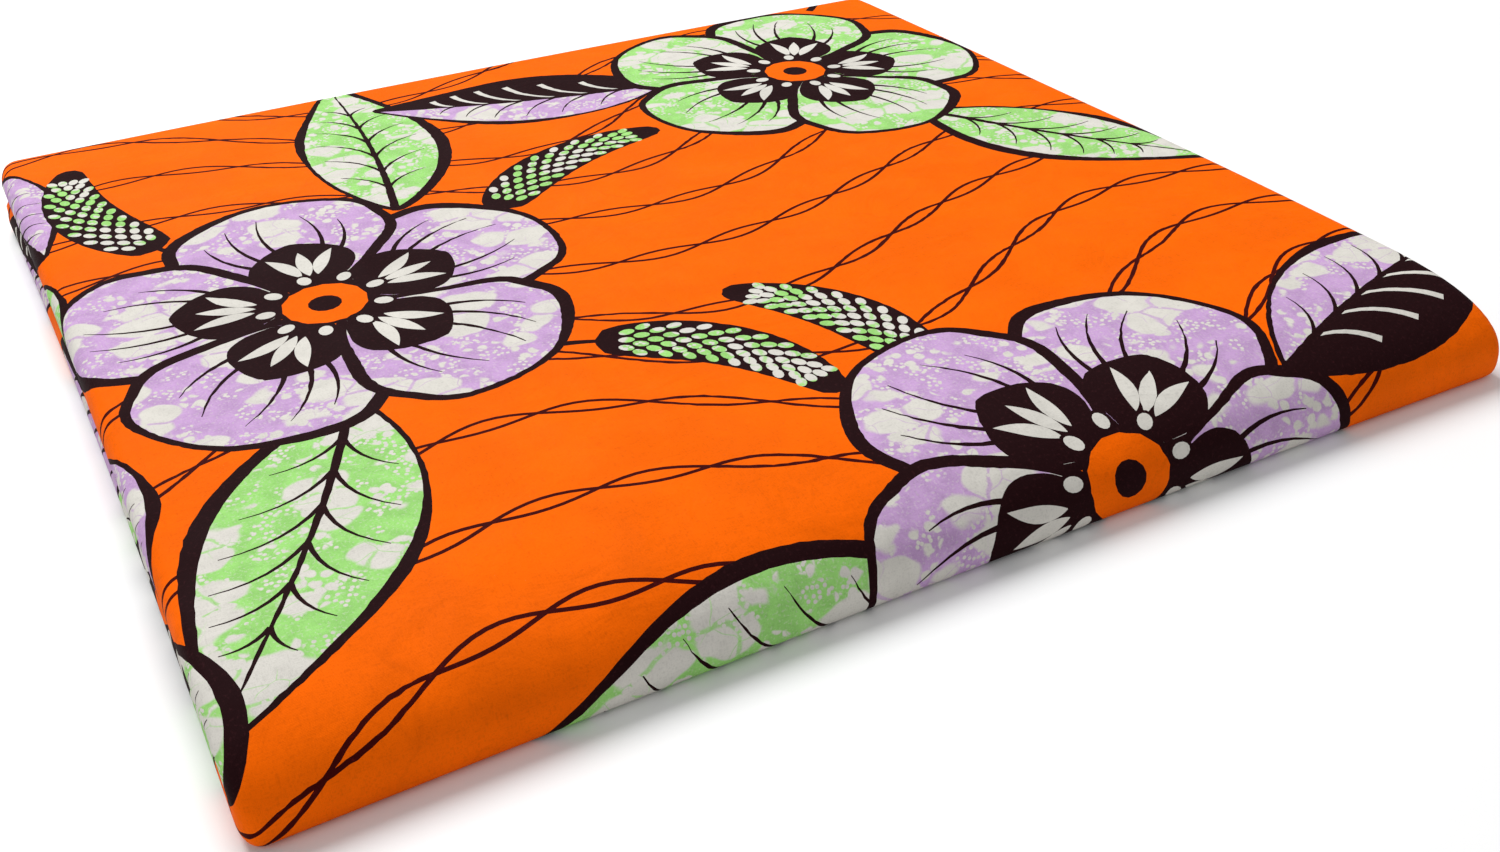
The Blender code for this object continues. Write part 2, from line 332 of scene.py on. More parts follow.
# The cloth's u where it has passed its left and right rolls, and where its flaps inside the pack end
LEFT_FLAP_GAP = 0.0018
RIGHT_FLAP_GAP = 0.0062
LEFT_TURNED = -FLAT_END - LEFT_TABLE[0, -1]
RIGHT_TURNED = FLAT_END + RIGHT_TABLE[0, -1]
LEFT_FLAP_END = LEFT_TURNED - (PACK_LENGTH - CREASE_WIDTH - LEFT_FLAP_GAP)
RIGHT_FLAP_END = RIGHT_TURNED + (PACK_LENGTH - ROLL_WIDTH - RIGHT_FLAP_GAP)


def turn_rows(w):
    """y and z of the outer face at w, and y and z of the crease inside it."""
    return (np.interp(w, TURN[0], row) for row in TURN[1:])


def across_turn(u, w):
    """A point of the outer turn as far back as its back rolls. Past a side roll it runs on into the pack."""
    y, z, crease_y, crease_z = turn_rows(w)
    x = np.clip(u, -FLAT_END, FLAT_END)
    for sign, table, roll, _ in SIDE_ROLLS:
        run = sign * u - FLAT_END
        share = np.where(run > 0, np.interp(run, table[0], table[1]), 0) * roll
        inset = np.interp(run, table[0], table[2]) + np.maximum(run - table[0, -1], 0)
        x = np.where(run > 0, sign * (HALF_LENGTH - inset), x)
        y = y + (crease_y - y) * share
        z = z + (crease_z - z) * share
    return x, y, z


def inner_line(u, side):
    """x and z of the innermost ply's fold at the back, in the upper (1) or lower (-1) half of the pack."""
    x = np.clip(u, -FLAT_END, FLAT_END)
    depth = GROUP - CLEARANCE
    for sign, table, _, height in SIDE_ROLLS:
        run = sign * u - FLAT_END
        share = np.interp(run, table[0], table[1])
        bulge = height / 4 * round_share(2 * share - 1, 2)
        depth = depth + share * height
        x = x + sign * (bulge - np.maximum(run - table[0, -1], 0))
    return x, PACK_THICKNESS - depth if side > 0 else depth


def back_fold(u, run, side, table, first, last, set_back):
    """Cloth folded at the back edge. run is 0 where it starts to turn, and first and last are depths."""
    outer_x, _, outer_z = across_turn(u, TOP_END if side > 0 else W_UNDER_END)
    inner_x, inner_z = inner_line(u, side)
    share = first + (last - first) * np.interp(run, table[0], table[1])
    beyond = np.maximum(-run, 0) + np.maximum(run - table[0, -1], 0)
    x = outer_x + (inner_x - outer_x) * share
    y = HALF_DEPTH - set_back - np.interp(run, table[0], table[2]) - beyond
    z = outer_z + (inner_z - outer_z) * share
    return np.stack([x, y, z], axis=-1)


def smooth(share):
    share = np.clip(share, 0, 1)
    return share * share * (3 - 2 * share)


def set_back(u, middle, left, right, wander, waves):
    """How far an edge lies in from the pack's back, by the group that it is in, and how it wanders."""
    on_left = smooth((LEFT_TURNED - SIDE_TAIL - u) / SET_BACK_RUN)
    on_right = smooth((u - RIGHT_TURNED - SIDE_TAIL) / SET_BACK_RUN)
    amount = middle * (1 - on_left - on_right) + left * on_left + right * on_right
    free = 1 if middle > 0 else on_left + on_right
    return amount + wander * free * np.sin(math.tau * waves * u / PACK_LENGTH)


def turn_point(u, w):
    """A point of the outer turn in the neatly folded pack, with its back edges rolled in as well."""
    points = np.stack(across_turn(u, np.clip(w, W_UNDER_END, TOP_END)), axis=-1)
    top = back_fold(u, w - TOP_END, 1, TOP_TABLE, 0.0, 1.0, set_back(u, *TOP_SET_BACK))
    under = back_fold(u, W_UNDER_END - w, -1, UNDER_TABLE, 0.0, OUTER_FOLD, set_back(u, *UNDER_SET_BACK))
    points = np.where((w > TOP_END)[..., None], top, points)
    return np.where((w < W_UNDER_END)[..., None], under, points)


def settled(points):
    """Points of the neatly folded pack, moved to where they lie once the pack has settled over the origin."""
    x, y, z = np.moveaxis(points, -1, 0)
    over = np.clip((y - (HALF_DEPTH - CORNER_RADIUS)) / CORNER_RADIUS, 0, 1)
    x = x * (1 - CORNER_RADIUS * (1 - round_share(over, 2)) / HALF_LENGTH)
    along, back = x / HALF_LENGTH, y / HALF_DEPTH
    left, right = (1 - along) / 2, (1 + along) / 2
    spread = SPREAD * ((1 + back) / 2) ** 2 * (1 - z / PACK_THICKNESS)
    x = x + (LEFT_BOW * left + RIGHT_BOW * right) * (1 - back**2) - spread * left
    y = y + (FRONT_BOW * (1 - back) / 2 + BACK_BOW * (1 + back) / 2) * (1 - along**2)
    behind_front = np.clip((y + HALF_DEPTH) / CROWN_RAMP, 0, 1)
    z = z + CROWN * z / PACK_THICKNESS * (1 - along**2 * back**2) * behind_front
    return np.stack([x, y, z], axis=-1) + CENTRE_SHIFT


# Soft press creases: start and end as (u, w), half width, and depth as a share of the crease depth setting. A
# crease with a negative depth is a ridge
CREASES = (
    # start, end, half width, depth
    ((-0.150, -0.020), (0.020, -0.060), 0.0040, 0.8),
    ((-0.060, 0.110), (0.130, 0.085), 0.0050, -0.7),
    ((0.030, -0.120), (0.170, -0.075), 0.0045, 0.9),
    ((-0.170, -0.110), (-0.060, -0.140), 0.0040, -0.8),
    ((0.060, 0.020), (0.185, 0.045), 0.0035, 0.6),
    ((-0.120, 0.150), (-0.020, 0.160), 0.0040, 0.7),
    ((-0.030, -0.165), (0.090, -0.190), 0.0045, 0.9),
    ((-0.150, -0.180), (-0.070, -0.205), 0.0040, 0.6),
    ((0.110, -0.185), (0.175, -0.160), 0.0040, -0.6),
)
CREASE_LINES = (-1.5, -0.75, 0.0, 0.75, 1.5)
SWELLS = (
    # height, u waves, w waves, phase
    (0.00016, 9.0, 13.0, 0.4),
    (0.00012, -17.0, 8.0, 1.9),
    (0.00008, 24.0, 27.0, 3.1),
)


def relief(u, w, depth):
    """How far the cloth stands proud of the neat fold: swells and soft creases, none on the underside."""
    height = np.zeros_like(u)
    for swell, waves_u, waves_w, phase in SWELLS:
        height = height + swell * np.sin(math.tau * (waves_u * u + waves_w * w) / 4 + phase)
    for start, end, half, share in CREASES:
        start, run = np.array(start), np.array(end) - np.array(start)
        length = np.hypot(*run)
        along = ((u - start[0]) * run[0] + (w - start[1]) * run[1]) / length**2
        aside = ((w - start[1]) * run[0] - (u - start[0]) * run[1]) / length
        fade = np.clip(1 - (2 * along - 1) ** 4, 0, 1) * (np.abs(2 * along - 1) < 1)
        height = height - share * depth * fade * np.exp(-((aside / half) ** 2))
    return height * np.clip((w - W_NOSE) / FRONT_SLOPE, 0, 1) * np.clip((TOP_END - w) / GROUP, 0, 1)


def unit(vectors):
    return vectors / np.maximum(np.linalg.norm(vectors, axis=-1), 1e-12)[..., None]


def facing(place, u, w, step=1.5e-4):
    """The directions in which the cloth faces, at (u, w) of a surface that place gives."""
    run_u = place(u + step, w) - place(u - step, w)
    run_w = place(u, w + step) - place(u, w - step)
    return unit(np.cross(run_u, run_w))


def over_relief(place, depth):
    """The same surface with its swells and creases."""

    def raised(u, w):
        return place(u, w) + facing(place, u, w) * relief(u, w, depth)[..., None]

    return raised


# The print


def laid(points, at, turn):
    cos, sin = math.cos(turn), math.sin(turn)
    return np.asarray(points, float) @ np.array([[cos, sin], [-sin, cos]]) + at


def all_laid(shapes, at, turn):
    return [(laid(points, at, turn), ink) for points, ink in shapes]


def spoke(at, angle, reach):
    """The place at a distance from another, at an angle."""
    return np.asarray(at) + reach * np.array([math.cos(angle), math.sin(angle)])


def grown(points, distance, uneven=0.0):
    """The outline moved outwards, more on some sides than on others, as a line cut by hand is."""
    run = unit(np.roll(points, -1, 0) - np.roll(points, 1, 0))
    around = np.arctan2(*(points - points.mean(0)).T)
    reach = distance * (1 + uneven * np.sin(2 * around + 0.8) + uneven / 5 * np.sin(3 * around))
    return points + np.stack([run[:, 1], -run[:, 0]], axis=1) * reach[:, None]


def blade(length, width, shift, power, bend, steps=16, wave=0.0):
    """A petal or leaf along +X from the origin. shift moves its widest place, and power rounds its tip."""
    t = (1 - np.cos(np.linspace(0, math.pi, steps))) / 2
    half = width / 2 * np.sin(math.pi * t**shift).clip(0) ** power * (1 + wave * np.sin(17 * t))
    middle = bowed(length, bend, t)
    across = unit(np.stack([-2 * bend * t, np.ones(steps)], axis=1)) * half[:, None]
    return np.concatenate([middle - across, (middle + across)[-2:0:-1]])


def bowed(length, bend, t):
    """Places on the middle line of a petal or leaf. t runs from 0 at its foot to 1 at its tip."""
    return np.stack([t * length, bend * length * t**2], axis=-1)


def run_and_aside(middle):
    """The directions along a line of points and to the left of it."""
    run = unit(np.gradient(middle, axis=0))
    return run, np.stack([-run[:, 1], run[:, 0]], axis=1)


def band(middle, half):
    """The outline of a line with a width."""
    across = run_and_aside(middle)[1] * half
    return np.concatenate([middle - across, (middle + across)[::-1]])


def brushed(middle, wide, thin):
    """A brush line along the points of its middle, wide where it starts and thin where it ends."""
    return band(middle, np.linspace(wide, thin, len(middle))[:, None] / 2)


def stroke(start, end, bend, wide, thin, steps=8):
    """A brush line from start to end that bends to one side."""
    t = np.linspace(0, 1, steps)[:, None]
    start, run = np.asarray(start, float), np.subtract(end, start)
    return brushed(start + run * t + np.array([-run[1], run[0]]) * bend * 4 * t * (1 - t), wide, thin)


def oval(at, long, short, turn=0.0, steps=14):
    angle = np.linspace(0, math.tau, steps, endpoint=False)
    return laid(np.stack([np.cos(angle) * long / 2, np.sin(angle) * short / 2], axis=1), at, turn)


def bead(at, long, short, turn, line, ink):
    return [(oval(at, long + 2 * line, short + 2 * line, turn), DARK), (oval(at, long, short, turn), ink)]


def petal(at, turn, length, width, ink, line):
    """A round petal with a dark throat, pale slivers in it and veins that fan out of it."""
    bend = 0.10
    edge = blade(length, width, 1.45, 0.55, bend, 38, 0.03)
    shapes = [(grown(edge, line, 0.3), DARK), (edge, ink)]
    for slant, reach in ((-0.50, 0.70), (-0.27, 0.82), (0.05, 0.86), (0.33, 0.80), (0.56, 0.66)):
        start = (length * 0.30, slant * width * 0.30)
        end = (length * reach, slant * width * 0.62 + bend * length * reach**2)
        shapes.append((stroke(start, end, 0.10 * np.sign(slant), *PETAL_VEIN), DARK))
    shapes.append((blade(length * 0.52, width * 0.50, 1.1, 0.70, bend / 2, 28), DARK))
    for slant in (-0.24, 0.0, 0.24):
        sliver = blade(length * 0.26, width * 0.070, 0.9, 0.9, slant, 14)
        shapes.append((laid(sliver, (length * 0.15, slant * length * 0.16), slant * 0.9), PALE))
    return all_laid(shapes, at, turn)


def blossom(at, turn, radius, ink, line):
    """Five round petals about a beaded eye."""
    shapes = []
    for number in range(5):
        angle = turn + number * math.tau / 5
        shapes += petal(spoke(at, angle, radius * 0.13), angle, radius * 0.87, radius * 0.86, ink, line)
    shapes += bead(at, radius * 0.33, radius * 0.33, 0, line / 2, GROUND)
    for number in range(9):
        angle = turn + number * math.tau / 9
        place = spoke(at, angle, radius * 0.225)
        shapes += bead(place, radius * 0.075, radius * 0.055, angle, line / 3, PALE)
    shapes.append((oval(at, radius * 0.13, radius * 0.13), DARK))
    return shapes


def leaf(at, turn, length, width, ink, bend, line, two_tone=False):
    """A pointed leaf with a rib and side veins. A two-tone one is dark on one side, with pale veins there."""
    edge = blade(length, width, 0.85, 0.95, bend, 42)
    shapes = [(grown(edge - (0, line / 4), line, 0.35), DARK), (edge, ink)]
    if two_tone:
        middle = bowed(length, bend, np.linspace(1, 0, 24))
        half_leaf = np.concatenate([edge[: len(edge) // 2 + 1], middle[:-1]])
        shapes.append((grown(half_leaf, line / 5), DARK))
    for side in (-1, 1):
        pale = two_tone and side < 0
        vein = PALE_VEIN if pale else LEAF_VEIN
        for number in range(6):
            t = 0.14 + 0.12 * number
            reach = width * 0.40 * math.sin(math.pi * (t + 0.10) ** 0.85)
            start = bowed(length, bend, t)
            end = (start[0] + reach * 0.95, start[1] + side * reach + bend * reach * t * 2)
            shapes.append((stroke(start, end, -side * 0.12, *vein, 7), PALE if pale else DARK))
    shapes.append((stroke((0, 0), bowed(length, bend, 0.96), -bend / 4, *LEAF_RIB, 14), DARK))
    return all_laid(shapes, at, turn)


def spray(at, turn, length, bend, ink, line):
    """A bending ear of seeds, in tight ranks on a dark ground."""
    t = np.linspace(0, 1, 40)[:, None]
    middle = np.concatenate([length * t, length * bend * 4 * t * (1 - t)], axis=1)
    run, aside = run_and_aside(middle)
    half = EAR_HALF * np.sin(math.pi * t**0.7).clip(0) ** 0.45 + EAR_EDGE
    shapes = [(band(middle, half), DARK)]
    for number, step in enumerate(range(4, 36, 2)):
        turned = math.atan2(run[step, 1], run[step, 0])
        for rank in (-1.5, -0.5, 0.5, 1.5) if number % 2 else (-1, 0, 1):
            place = middle[step] + aside[step] * half[step] * rank * 0.49
            shapes.append((oval(place, *SEED_SIZE, turned + rank * 0.38, 12), ink))
    stalk = stroke(middle[0] - run[0] * STALK[0], middle[0] + run[0] * STALK[1], 0.05, line, line / 2)
    return all_laid([*shapes, (stalk, DARK)], at, turn)


def bled(outline, random):
    """The outline with the fine uneven edge that dye leaves as it creeps along the threads."""
    following = np.roll(outline, -1, 0)
    points = []
    for here, after in zip(outline, following):
        length = np.hypot(*(after - here))
        share = np.linspace(0, 1, max(1, round(length / BLEED_STEP)), endpoint=False)[:, None]
        aside = np.array([here[1] - after[1], after[0] - here[0]]) / max(length, 1e-9)
        points.append(here + (after - here) * share + aside * random.normal(0, BLEED_REACH, share.shape))
    return np.concatenate(points)


def twisted_pairs(repeat, width):
    """Pairs of thin lines that twist and wander across the ground, and meet at the repeat's sides."""
    shapes = []
    rows, lenses, per_lens = 17, 20, 9
    for row in range(rows):
        base = ((row + 0.5) / rows - 0.5) * repeat[1]
        for sign in (-1, 1):
            for lens in range(lenses):
                t = (lens + np.linspace(0, 1, per_lens)) / lenses
                wander = PAIR_WANDER[0] * np.sin(math.tau * (3 * t + 0.21 * row))
                wander -= PAIR_WANDER[1] * np.sin(math.tau * (2 * t + 0.03 * row))
                lift = sign * (-1) ** lens * PAIR_TWIST * np.sin(math.pi * (t * lenses - lens))
                middle = np.stack([(t - 0.5) * repeat[0], base + wander + lift], axis=1)
                shapes.append((brushed(middle, width, width), STRAND))
    return shapes


# Where the motifs of one repeat are printed. Turns are in degrees
LEAVES = (
    # at, turn, length, width, ink, bend, two-tone
    ((-0.075, 0.060), 78, 0.125, 0.046, GREEN, 0.10, False),
    ((-0.125, -0.055), -112, 0.125, 0.050, GREEN, -0.12, False),
    ((0.055, 0.120), 172, 0.110, 0.044, LILAC, -0.14, True),
    ((0.128, 0.040), -62, 0.105, 0.042, GREEN, 0.12, False),
    ((0.110, -0.165), 24, 0.120, 0.046, LILAC, -0.12, True),
    ((-0.010, -0.195), 176, 0.120, 0.048, GREEN, 0.12, False),
    ((0.060, 0.280), -10, 0.120, 0.046, GREEN, 0.12, False),
    ((-0.050, 0.265), 190, 0.120, 0.044, GREEN, 0.12, False),
    ((-0.199, 0.176), -84, 0.092, 0.036, LILAC, 0.06, True),
    ((-0.195, 0.078), -93, 0.062, 0.024, GREEN, -0.05, False),
    ((-0.198, -0.034), -88, 0.074, 0.028, LILAC, 0.04, True),
    ((-0.200, -0.186), 86, 0.070, 0.032, GREEN, 0.05, False),
    ((-0.197, 0.304), -90, 0.104, 0.036, LILAC, 0.05, True),
)
SPRAYS = (
    # at, turn, length, bend
    ((-0.045, 0.040), 25, 0.085, 0.14),
    ((0.020, -0.115), 115, 0.070, -0.14),
    ((-0.150, 0.070), 100, 0.085, 0.12),
    ((-0.055, -0.060), -52, 0.075, 0.16),
    ((0.170, 0.180), 60, 0.080, -0.14),
)
BLOSSOMS = (
    # at, turn, radius, ink
    ((-0.115, 0.005), 15, 0.078, LILAC),
    ((0.108, 0.105), -12, 0.074, GREEN),
    ((0.045, -0.180), 48, 0.080, LILAC),
    ((-0.200, -0.270), 10, 0.060, GREEN),
    ((0.010, 0.270), 30, 0.062, LILAC),
)


def repeat_shapes(settings):
    """Every shape of one repeat of the print, as (outline, ink), in the order of printing."""
    line = settings.outline
    shapes = twisted_pairs((settings.repeat_across, settings.repeat_along), settings.strand_width)
    for at, turn, length, width, ink, bend, two_tone in LEAVES:
        shapes += leaf(at, math.radians(turn), length, width, ink, bend, line, two_tone)
    for at, turn, length, bend in SPRAYS:
        shapes += spray(at, math.radians(turn), length, bend, GREEN, line)
    for at, turn, radius, ink in BLOSSOMS:
        shapes += blossom(at, math.radians(turn), radius, ink, line)
    random = np.random.default_rng(settings.seed)
    for number, (points, ink) in enumerate(shapes):
        if np.ptp(points, 0).min() > BLEED_LEAST:
            shapes[number] = (bled(points, random), ink)
    return shapes


def clipped(outline, low, high):
    """The part of an outline inside a rectangle, or None."""
    for axis in (0, 1):
        for limit, sign in ((low[axis], 1), (high[axis], -1)):
            kept = sign * (outline[:, axis] - limit) >= 0
            if kept.all():
                continue
            if not kept.any():
                return None
            following = np.roll(outline, -1, 0)
            points = []
            for here, after, here_kept, after_kept in zip(outline, following, kept, np.roll(kept, -1)):
                if here_kept:
                    points.append(here)
                if here_kept != after_kept:
                    points.append(here + (after - here) * (limit - here[axis]) / (after[axis] - here[axis]))
            outline = np.array(points)
    return outline if len(outline) > 2 else None


def shapes_over(shapes, repeat, low, high, offset):
    """The print's shapes that reach into a stretch of the cloth, cut off at its edges."""
    found = []
    for outline, ink in shapes:
        least, most = outline.min(0) + offset, outline.max(0) + offset
        first = np.ceil((low - most) / repeat).astype(int)
        last = np.floor((high - least) / repeat).astype(int)
        for i in range(first[0], last[0] + 1):
            for j in range(first[1], last[1] + 1):
                piece = clipped(outline + offset + np.array([i, j]) * repeat, low, high)
                if piece is not None:
                    found.append((piece, ink))
    return found


def inside(points, outline):
    """Which of the points lie inside an outline."""
    x, y = points.T
    hit = np.zeros(len(points), bool)
    for (x0, y0), (x1, y1) in zip(outline, np.roll(outline, -1, 0)):
        if y0 != y1:
            hit ^= ((y0 > y) != (y1 > y)) & (x < x0 + (x1 - x0) * (y - y0) / (y1 - y0))
    return hit


def crease_lines():
    """Lines along the soft creases, which the triangles follow."""
    lines = []
    for start, end, half, _ in CREASES:
        start, run = np.array(start), np.subtract(end, start)
        side = np.array([-run[1], run[0]]) / np.hypot(*run) * half
        t = np.linspace(0, 1, 14)[:, None]
        lines += [start + run * t + side * place for place in CREASE_LINES]
    return lines


def triangulate(us, ws, shapes, lines):
    """Triangles of a flat stretch of cloth that follow its fold lines and its print.

    Returns the points, the triangles, and for each node of the grid its number among the points.
    """
    grid = np.stack(np.meshgrid(us, ws, indexing="ij"), axis=-1)
    index = np.arange(len(us) * len(ws)).reshape(len(us), len(ws))
    points = [grid.reshape(-1, 2)]
    edges = [np.stack([index[:-1].ravel(), index[1:].ravel()], 1)]
    edges.append(np.stack([index[:, :-1].ravel(), index[:, 1:].ravel()], 1))
    count = index.size
    for outline, closed in [(outline, True) for outline, _ in shapes] + [(line, False) for line in lines]:
        number = np.arange(len(outline)) + count
        loop = np.stack([number, np.roll(number, -1)], 1)
        points.append(outline)
        edges.append(loop if closed else loop[:-1])
        count += len(outline)
    millimetres = (np.concatenate(points) * 1000).tolist()
    made = delaunay_2d_cdt(millimetres, np.concatenate(edges).tolist(), [], 0, 1e-4)
    grid_number = np.zeros(count, int)
    for number, originals in enumerate(made[3]):
        grid_number[originals] = number
    flat = np.array([tuple(point) for point in made[0]]) / 1000
    return flat, np.array(made[2]), grid_number[: index.size].reshape(index.shape)


def inks_at(points, shapes):
    """The ink on top at each of the points."""
    inks = np.full(len(points), GROUND)
    order = np.argsort(points[:, 0])
    sorted_u = points[order, 0]
    for outline, ink in shapes:
        least, most = outline.min(0), outline.max(0)
        near = order[np.searchsorted(sorted_u, least[0]) : np.searchsorted(sorted_u, most[0])]
        near = near[(points[near, 1] > least[1]) & (points[near, 1] < most[1])]
        inks[near[inside(points[near], outline)]] = ink
    return inks


def border(grid):
    """The numbers round the edge of a grid, back to the first."""
    return np.concatenate([grid[:, 0], grid[-1, 1:], grid[-2::-1, -1], grid[0, -2::-1]])


def printed_sheet(context, name, us, ws, place, offset=(0.0, 0.0), lines=()):
    """A thin shell of printed cloth. place lays (u, w) over the fold, and offset moves the print on it."""
    prints, cloth = context.scene.wax_print, context.scene.wax_cloth
    repeat = np.array([prints.repeat_across, prints.repeat_along])
    low, high = np.array([us[0], ws[0]]) + EDGE_MARGIN, np.array([us[-1], ws[-1]]) - EDGE_MARGIN
    shapes = shapes_over(repeat_shapes(prints), repeat, low, high, np.asarray(offset))
    flat, triangles, grid = triangulate(us, ws, shapes, lines)

    outer = place(*flat.T)
    outer_facing = facing(place, *flat.T)
    nodes = flat[grid.ravel()]
    inner_facing = facing(place, *nodes.T)
    inner = place(*nodes.T) - inner_facing * cloth.ply
    below = (np.arange(grid.size) + len(flat)).reshape(grid.shape)
    corners = [below[:-1, :-1], below[:-1, 1:], below[1:, 1:], below[1:, :-1]]
    inside_faces = np.stack([corner.ravel() for corner in corners], 1)
    ring, ring_below = border(grid), border(below)
    rim = np.stack([ring[1:], ring[:-1], ring_below[:-1], ring_below[1:]], 1)

    samples = [flat[triangles].mean(1), nodes[inside_faces - len(flat)].mean(1), flat[rim[:, :2]].mean(1)]
    inks = inks_at(np.clip(np.concatenate(samples), low + EDGE_MARGIN, high - EDGE_MARGIN), shapes)
    mesh = bpy.data.meshes.new(name)
    faces = triangles.tolist() + inside_faces.tolist() + rim.tolist()
    mesh.from_pydata(np.concatenate([outer, inner]).tolist(), [], faces)
    mesh.polygons.foreach_set("material_index", inks)
    mesh.shade_smooth()
    mesh.normals_split_custom_set_from_vertices(np.concatenate([outer_facing, -inner_facing]).tolist())
    add_cloth_map(mesh, np.concatenate([flat, nodes]) - offset)
    for material in ink_materials(context):
        mesh.materials.append(material)
    return linked(context, mesh)


def add_cloth_map(mesh, flat):
    """The UV map that says where on the flat cut each vertex lies, in metres."""
    corner_vertex = np.zeros(len(mesh.loops), int)
    mesh.loops.foreach_get("vertex_index", corner_vertex)
    mesh.uv_layers.new(name=CLOTH_MAP).data.foreach_set("uv", flat[corner_vertex].ravel())


def linked(context, mesh):
    piece = bpy.data.objects.new(mesh.name, mesh)
    context.scene.collection.objects.link(piece)
    return piece


# Nodes, for materials and for geometry


class Term:
    """A node's output, which Python's operators join into Math nodes."""

    def __init__(self, wiring, socket):
        self.wiring = wiring
        self.socket = socket

    def math(self, operation, *values):
        return self.wiring.node("ShaderNodeMath", {"operation": operation}, dict(enumerate(values)))

    def __add__(self, other):
        return self.math("ADD", self, other)

    def __sub__(self, other):
        return self.math("SUBTRACT", self, other)

    def __rsub__(self, other):
        return self.math("SUBTRACT", other, self)

    def __mul__(self, other):
        return self.math("MULTIPLY", self, other)

    __radd__ = __add__
    __rmul__ = __mul__

    def sine(self):
        return self.math("SINE", self)

    def size(self):
        return self.math("ABSOLUTE", self)

    def most(self, other):
        return self.math("MAXIMUM", self, other)

    def step(self, start, end):
        """0 below start and 1 above end, with a soft step between them."""
        values = {"Value": self, "From Min": start, "From Max": end}
        return self.wiring.node("ShaderNodeMapRange", {"interpolation_type": "SMOOTHSTEP"}, values)


class Wiring:
    """A node tree that one method fills."""

    def __init__(self, tree):
        self.nodes = tree.nodes
        self.links = tree.links
        self.nodes.clear()

    def node(self, kind, settings=None, values=None, output=0):
        """Adds a node, sets it up, and gives its inputs their values or links. Returns one of its outputs."""
        node = self.nodes.new(kind)
        for key, value in (settings or {}).items():
            setattr(node, key, value)
        for key, value in (values or {}).items():
            if isinstance(value, Term):
                self.links.new(value.socket, node.inputs[key])
            else:
                node.inputs[key].default_value = value
        return Term(self, node.outputs[output]) if node.outputs else None

    def other(self, term, output):
        """Another output of the node that gave a term."""
        return Term(self, term.socket.node.outputs[output])

    def mix(self, share, first, second):
        """A colour between two colours."""
        return self.node("ShaderNodeMix", {"data_type": "RGBA"}, {0: share, 6: first, 7: second}, output=2)

    def vectors(self, operation, first, second):
        return self.node("ShaderNodeVectorMath", {"operation": operation}, {0: first, 1: second})

    def xyz(self, **values):
        """A vector of the values that are given for X, Y and Z."""
        return self.node("ShaderNodeCombineXYZ", None, values)

    def surface(self, values):
        """Ends a material in one shader."""
        shader = self.node("ShaderNodeBsdfPrincipled", None, values)
        self.node("ShaderNodeOutputMaterial", None, {"Surface": shader})

    def shifted(self, vector, scale, detail, reach):
        """A vector moved about by noise."""
        noise = self.noise(vector, scale, detail)
        moved = self.vectors("SUBTRACT", self.other(noise, 1), (0.5, 0.5, 0.5))
        return self.vectors("ADD", vector, self.vectors("MULTIPLY", moved, (reach, reach, reach)))

    def noise(self, vector, scale, detail=2.0, rough=0.5, dimensions="2D"):
        values = {"Vector": vector, "Scale": scale, "Detail": detail, "Roughness": rough}
        return self.node("ShaderNodeTexNoise", {"noise_dimensions": dimensions}, values)

    def voronoi(self, vector, scale, feature="F1"):
        settings = {"voronoi_dimensions": "2D", "feature": feature}
        return self.node("ShaderNodeTexVoronoi", settings, {"Vector": vector, "Scale": scale})


def new_material(name):
    """An empty node material and its wiring."""
    material = bpy.data.materials.new(name)
    material.use_nodes = True
    return material, Wiring(material.node_tree)


def rgba(colour, share=1.0):
    return (*(channel * share for channel in colour), 1.0)


def marbled(tree, flat, dye, bare):
    """Dye that has crept under the wax: bare blobs with thin crackle between them, and bubbles in the dye."""
    bent = tree.shifted(tree.vectors("MULTIPLY", flat, (0.72, 1.0, 1.0)), 150.0, 1.0, 0.0035)
    reach = tree.noise(flat, 30.0, 1.0).step(0.36, 0.66) * 0.52 + 0.07
    blob = (reach - tree.voronoi(bent, BLOBS)).step(-0.045, 0.055)
    gap = (0.030 - tree.voronoi(bent, BLOBS, "DISTANCE_TO_EDGE")).step(-0.025, 0.015)
    drops = (0.34 - tree.voronoi(tree.shifted(flat, 320.0, 1.0, 0.0012), DROPS)).step(-0.07, 0.05)
    drops = drops * tree.noise(flat, 75.0, 1.0).step(0.53, 0.58)
    bubbles = (0.30 - tree.voronoi(flat, BUBBLES)).step(-0.08, 0.06)
    bubbles = bubbles * tree.noise(flat, 110.0, 1.0).step(0.52, 0.60)
    crackle = (0.014 - tree.voronoi(bent, CRACKS, "DISTANCE_TO_EDGE")).step(-0.010, 0.010)
    crackle = crackle * tree.noise(flat, 60.0, 1.0).step(0.46, 0.60) * 0.60
    bare_share = (blob * (1 - gap * 0.75)).most(drops).most(bubbles) * (1 - crackle)
    shade = tree.noise(flat, 160.0, 3.0).step(0.30, 0.70)
    speckle = tree.noise(flat, 1300.0, 1.0).step(0.56, 0.74) * 0.30
    dyed = tree.mix(speckle, tree.mix(shade, rgba(dye, 0.90), rgba(dye, 1.05)), rgba(bare))
    return tree.mix(bare_share, dyed, tree.mix(shade, rgba(bare), rgba(bare, 0.94)))


def mottled(tree, flat, dye):
    """Solid dye, a little uneven, with faint hairlines where the wax cracked."""
    even = tree.mix(tree.noise(flat, 26.0, 6.0, 0.68).step(0.30, 0.70), rgba(dye, 0.89), rgba(dye, 1.03))
    hair = tree.voronoi(tree.shifted(flat, 30.0, 3.0, 0.035), 24.0, "DISTANCE_TO_EDGE")
    hair = (0.012 - hair).step(-0.010, 0.010)
    patch = tree.noise(flat, 14.0, 2.0).step(0.50, 0.68)
    return tree.mix(hair * patch * 0.20, even, rgba(dye, 0.60))


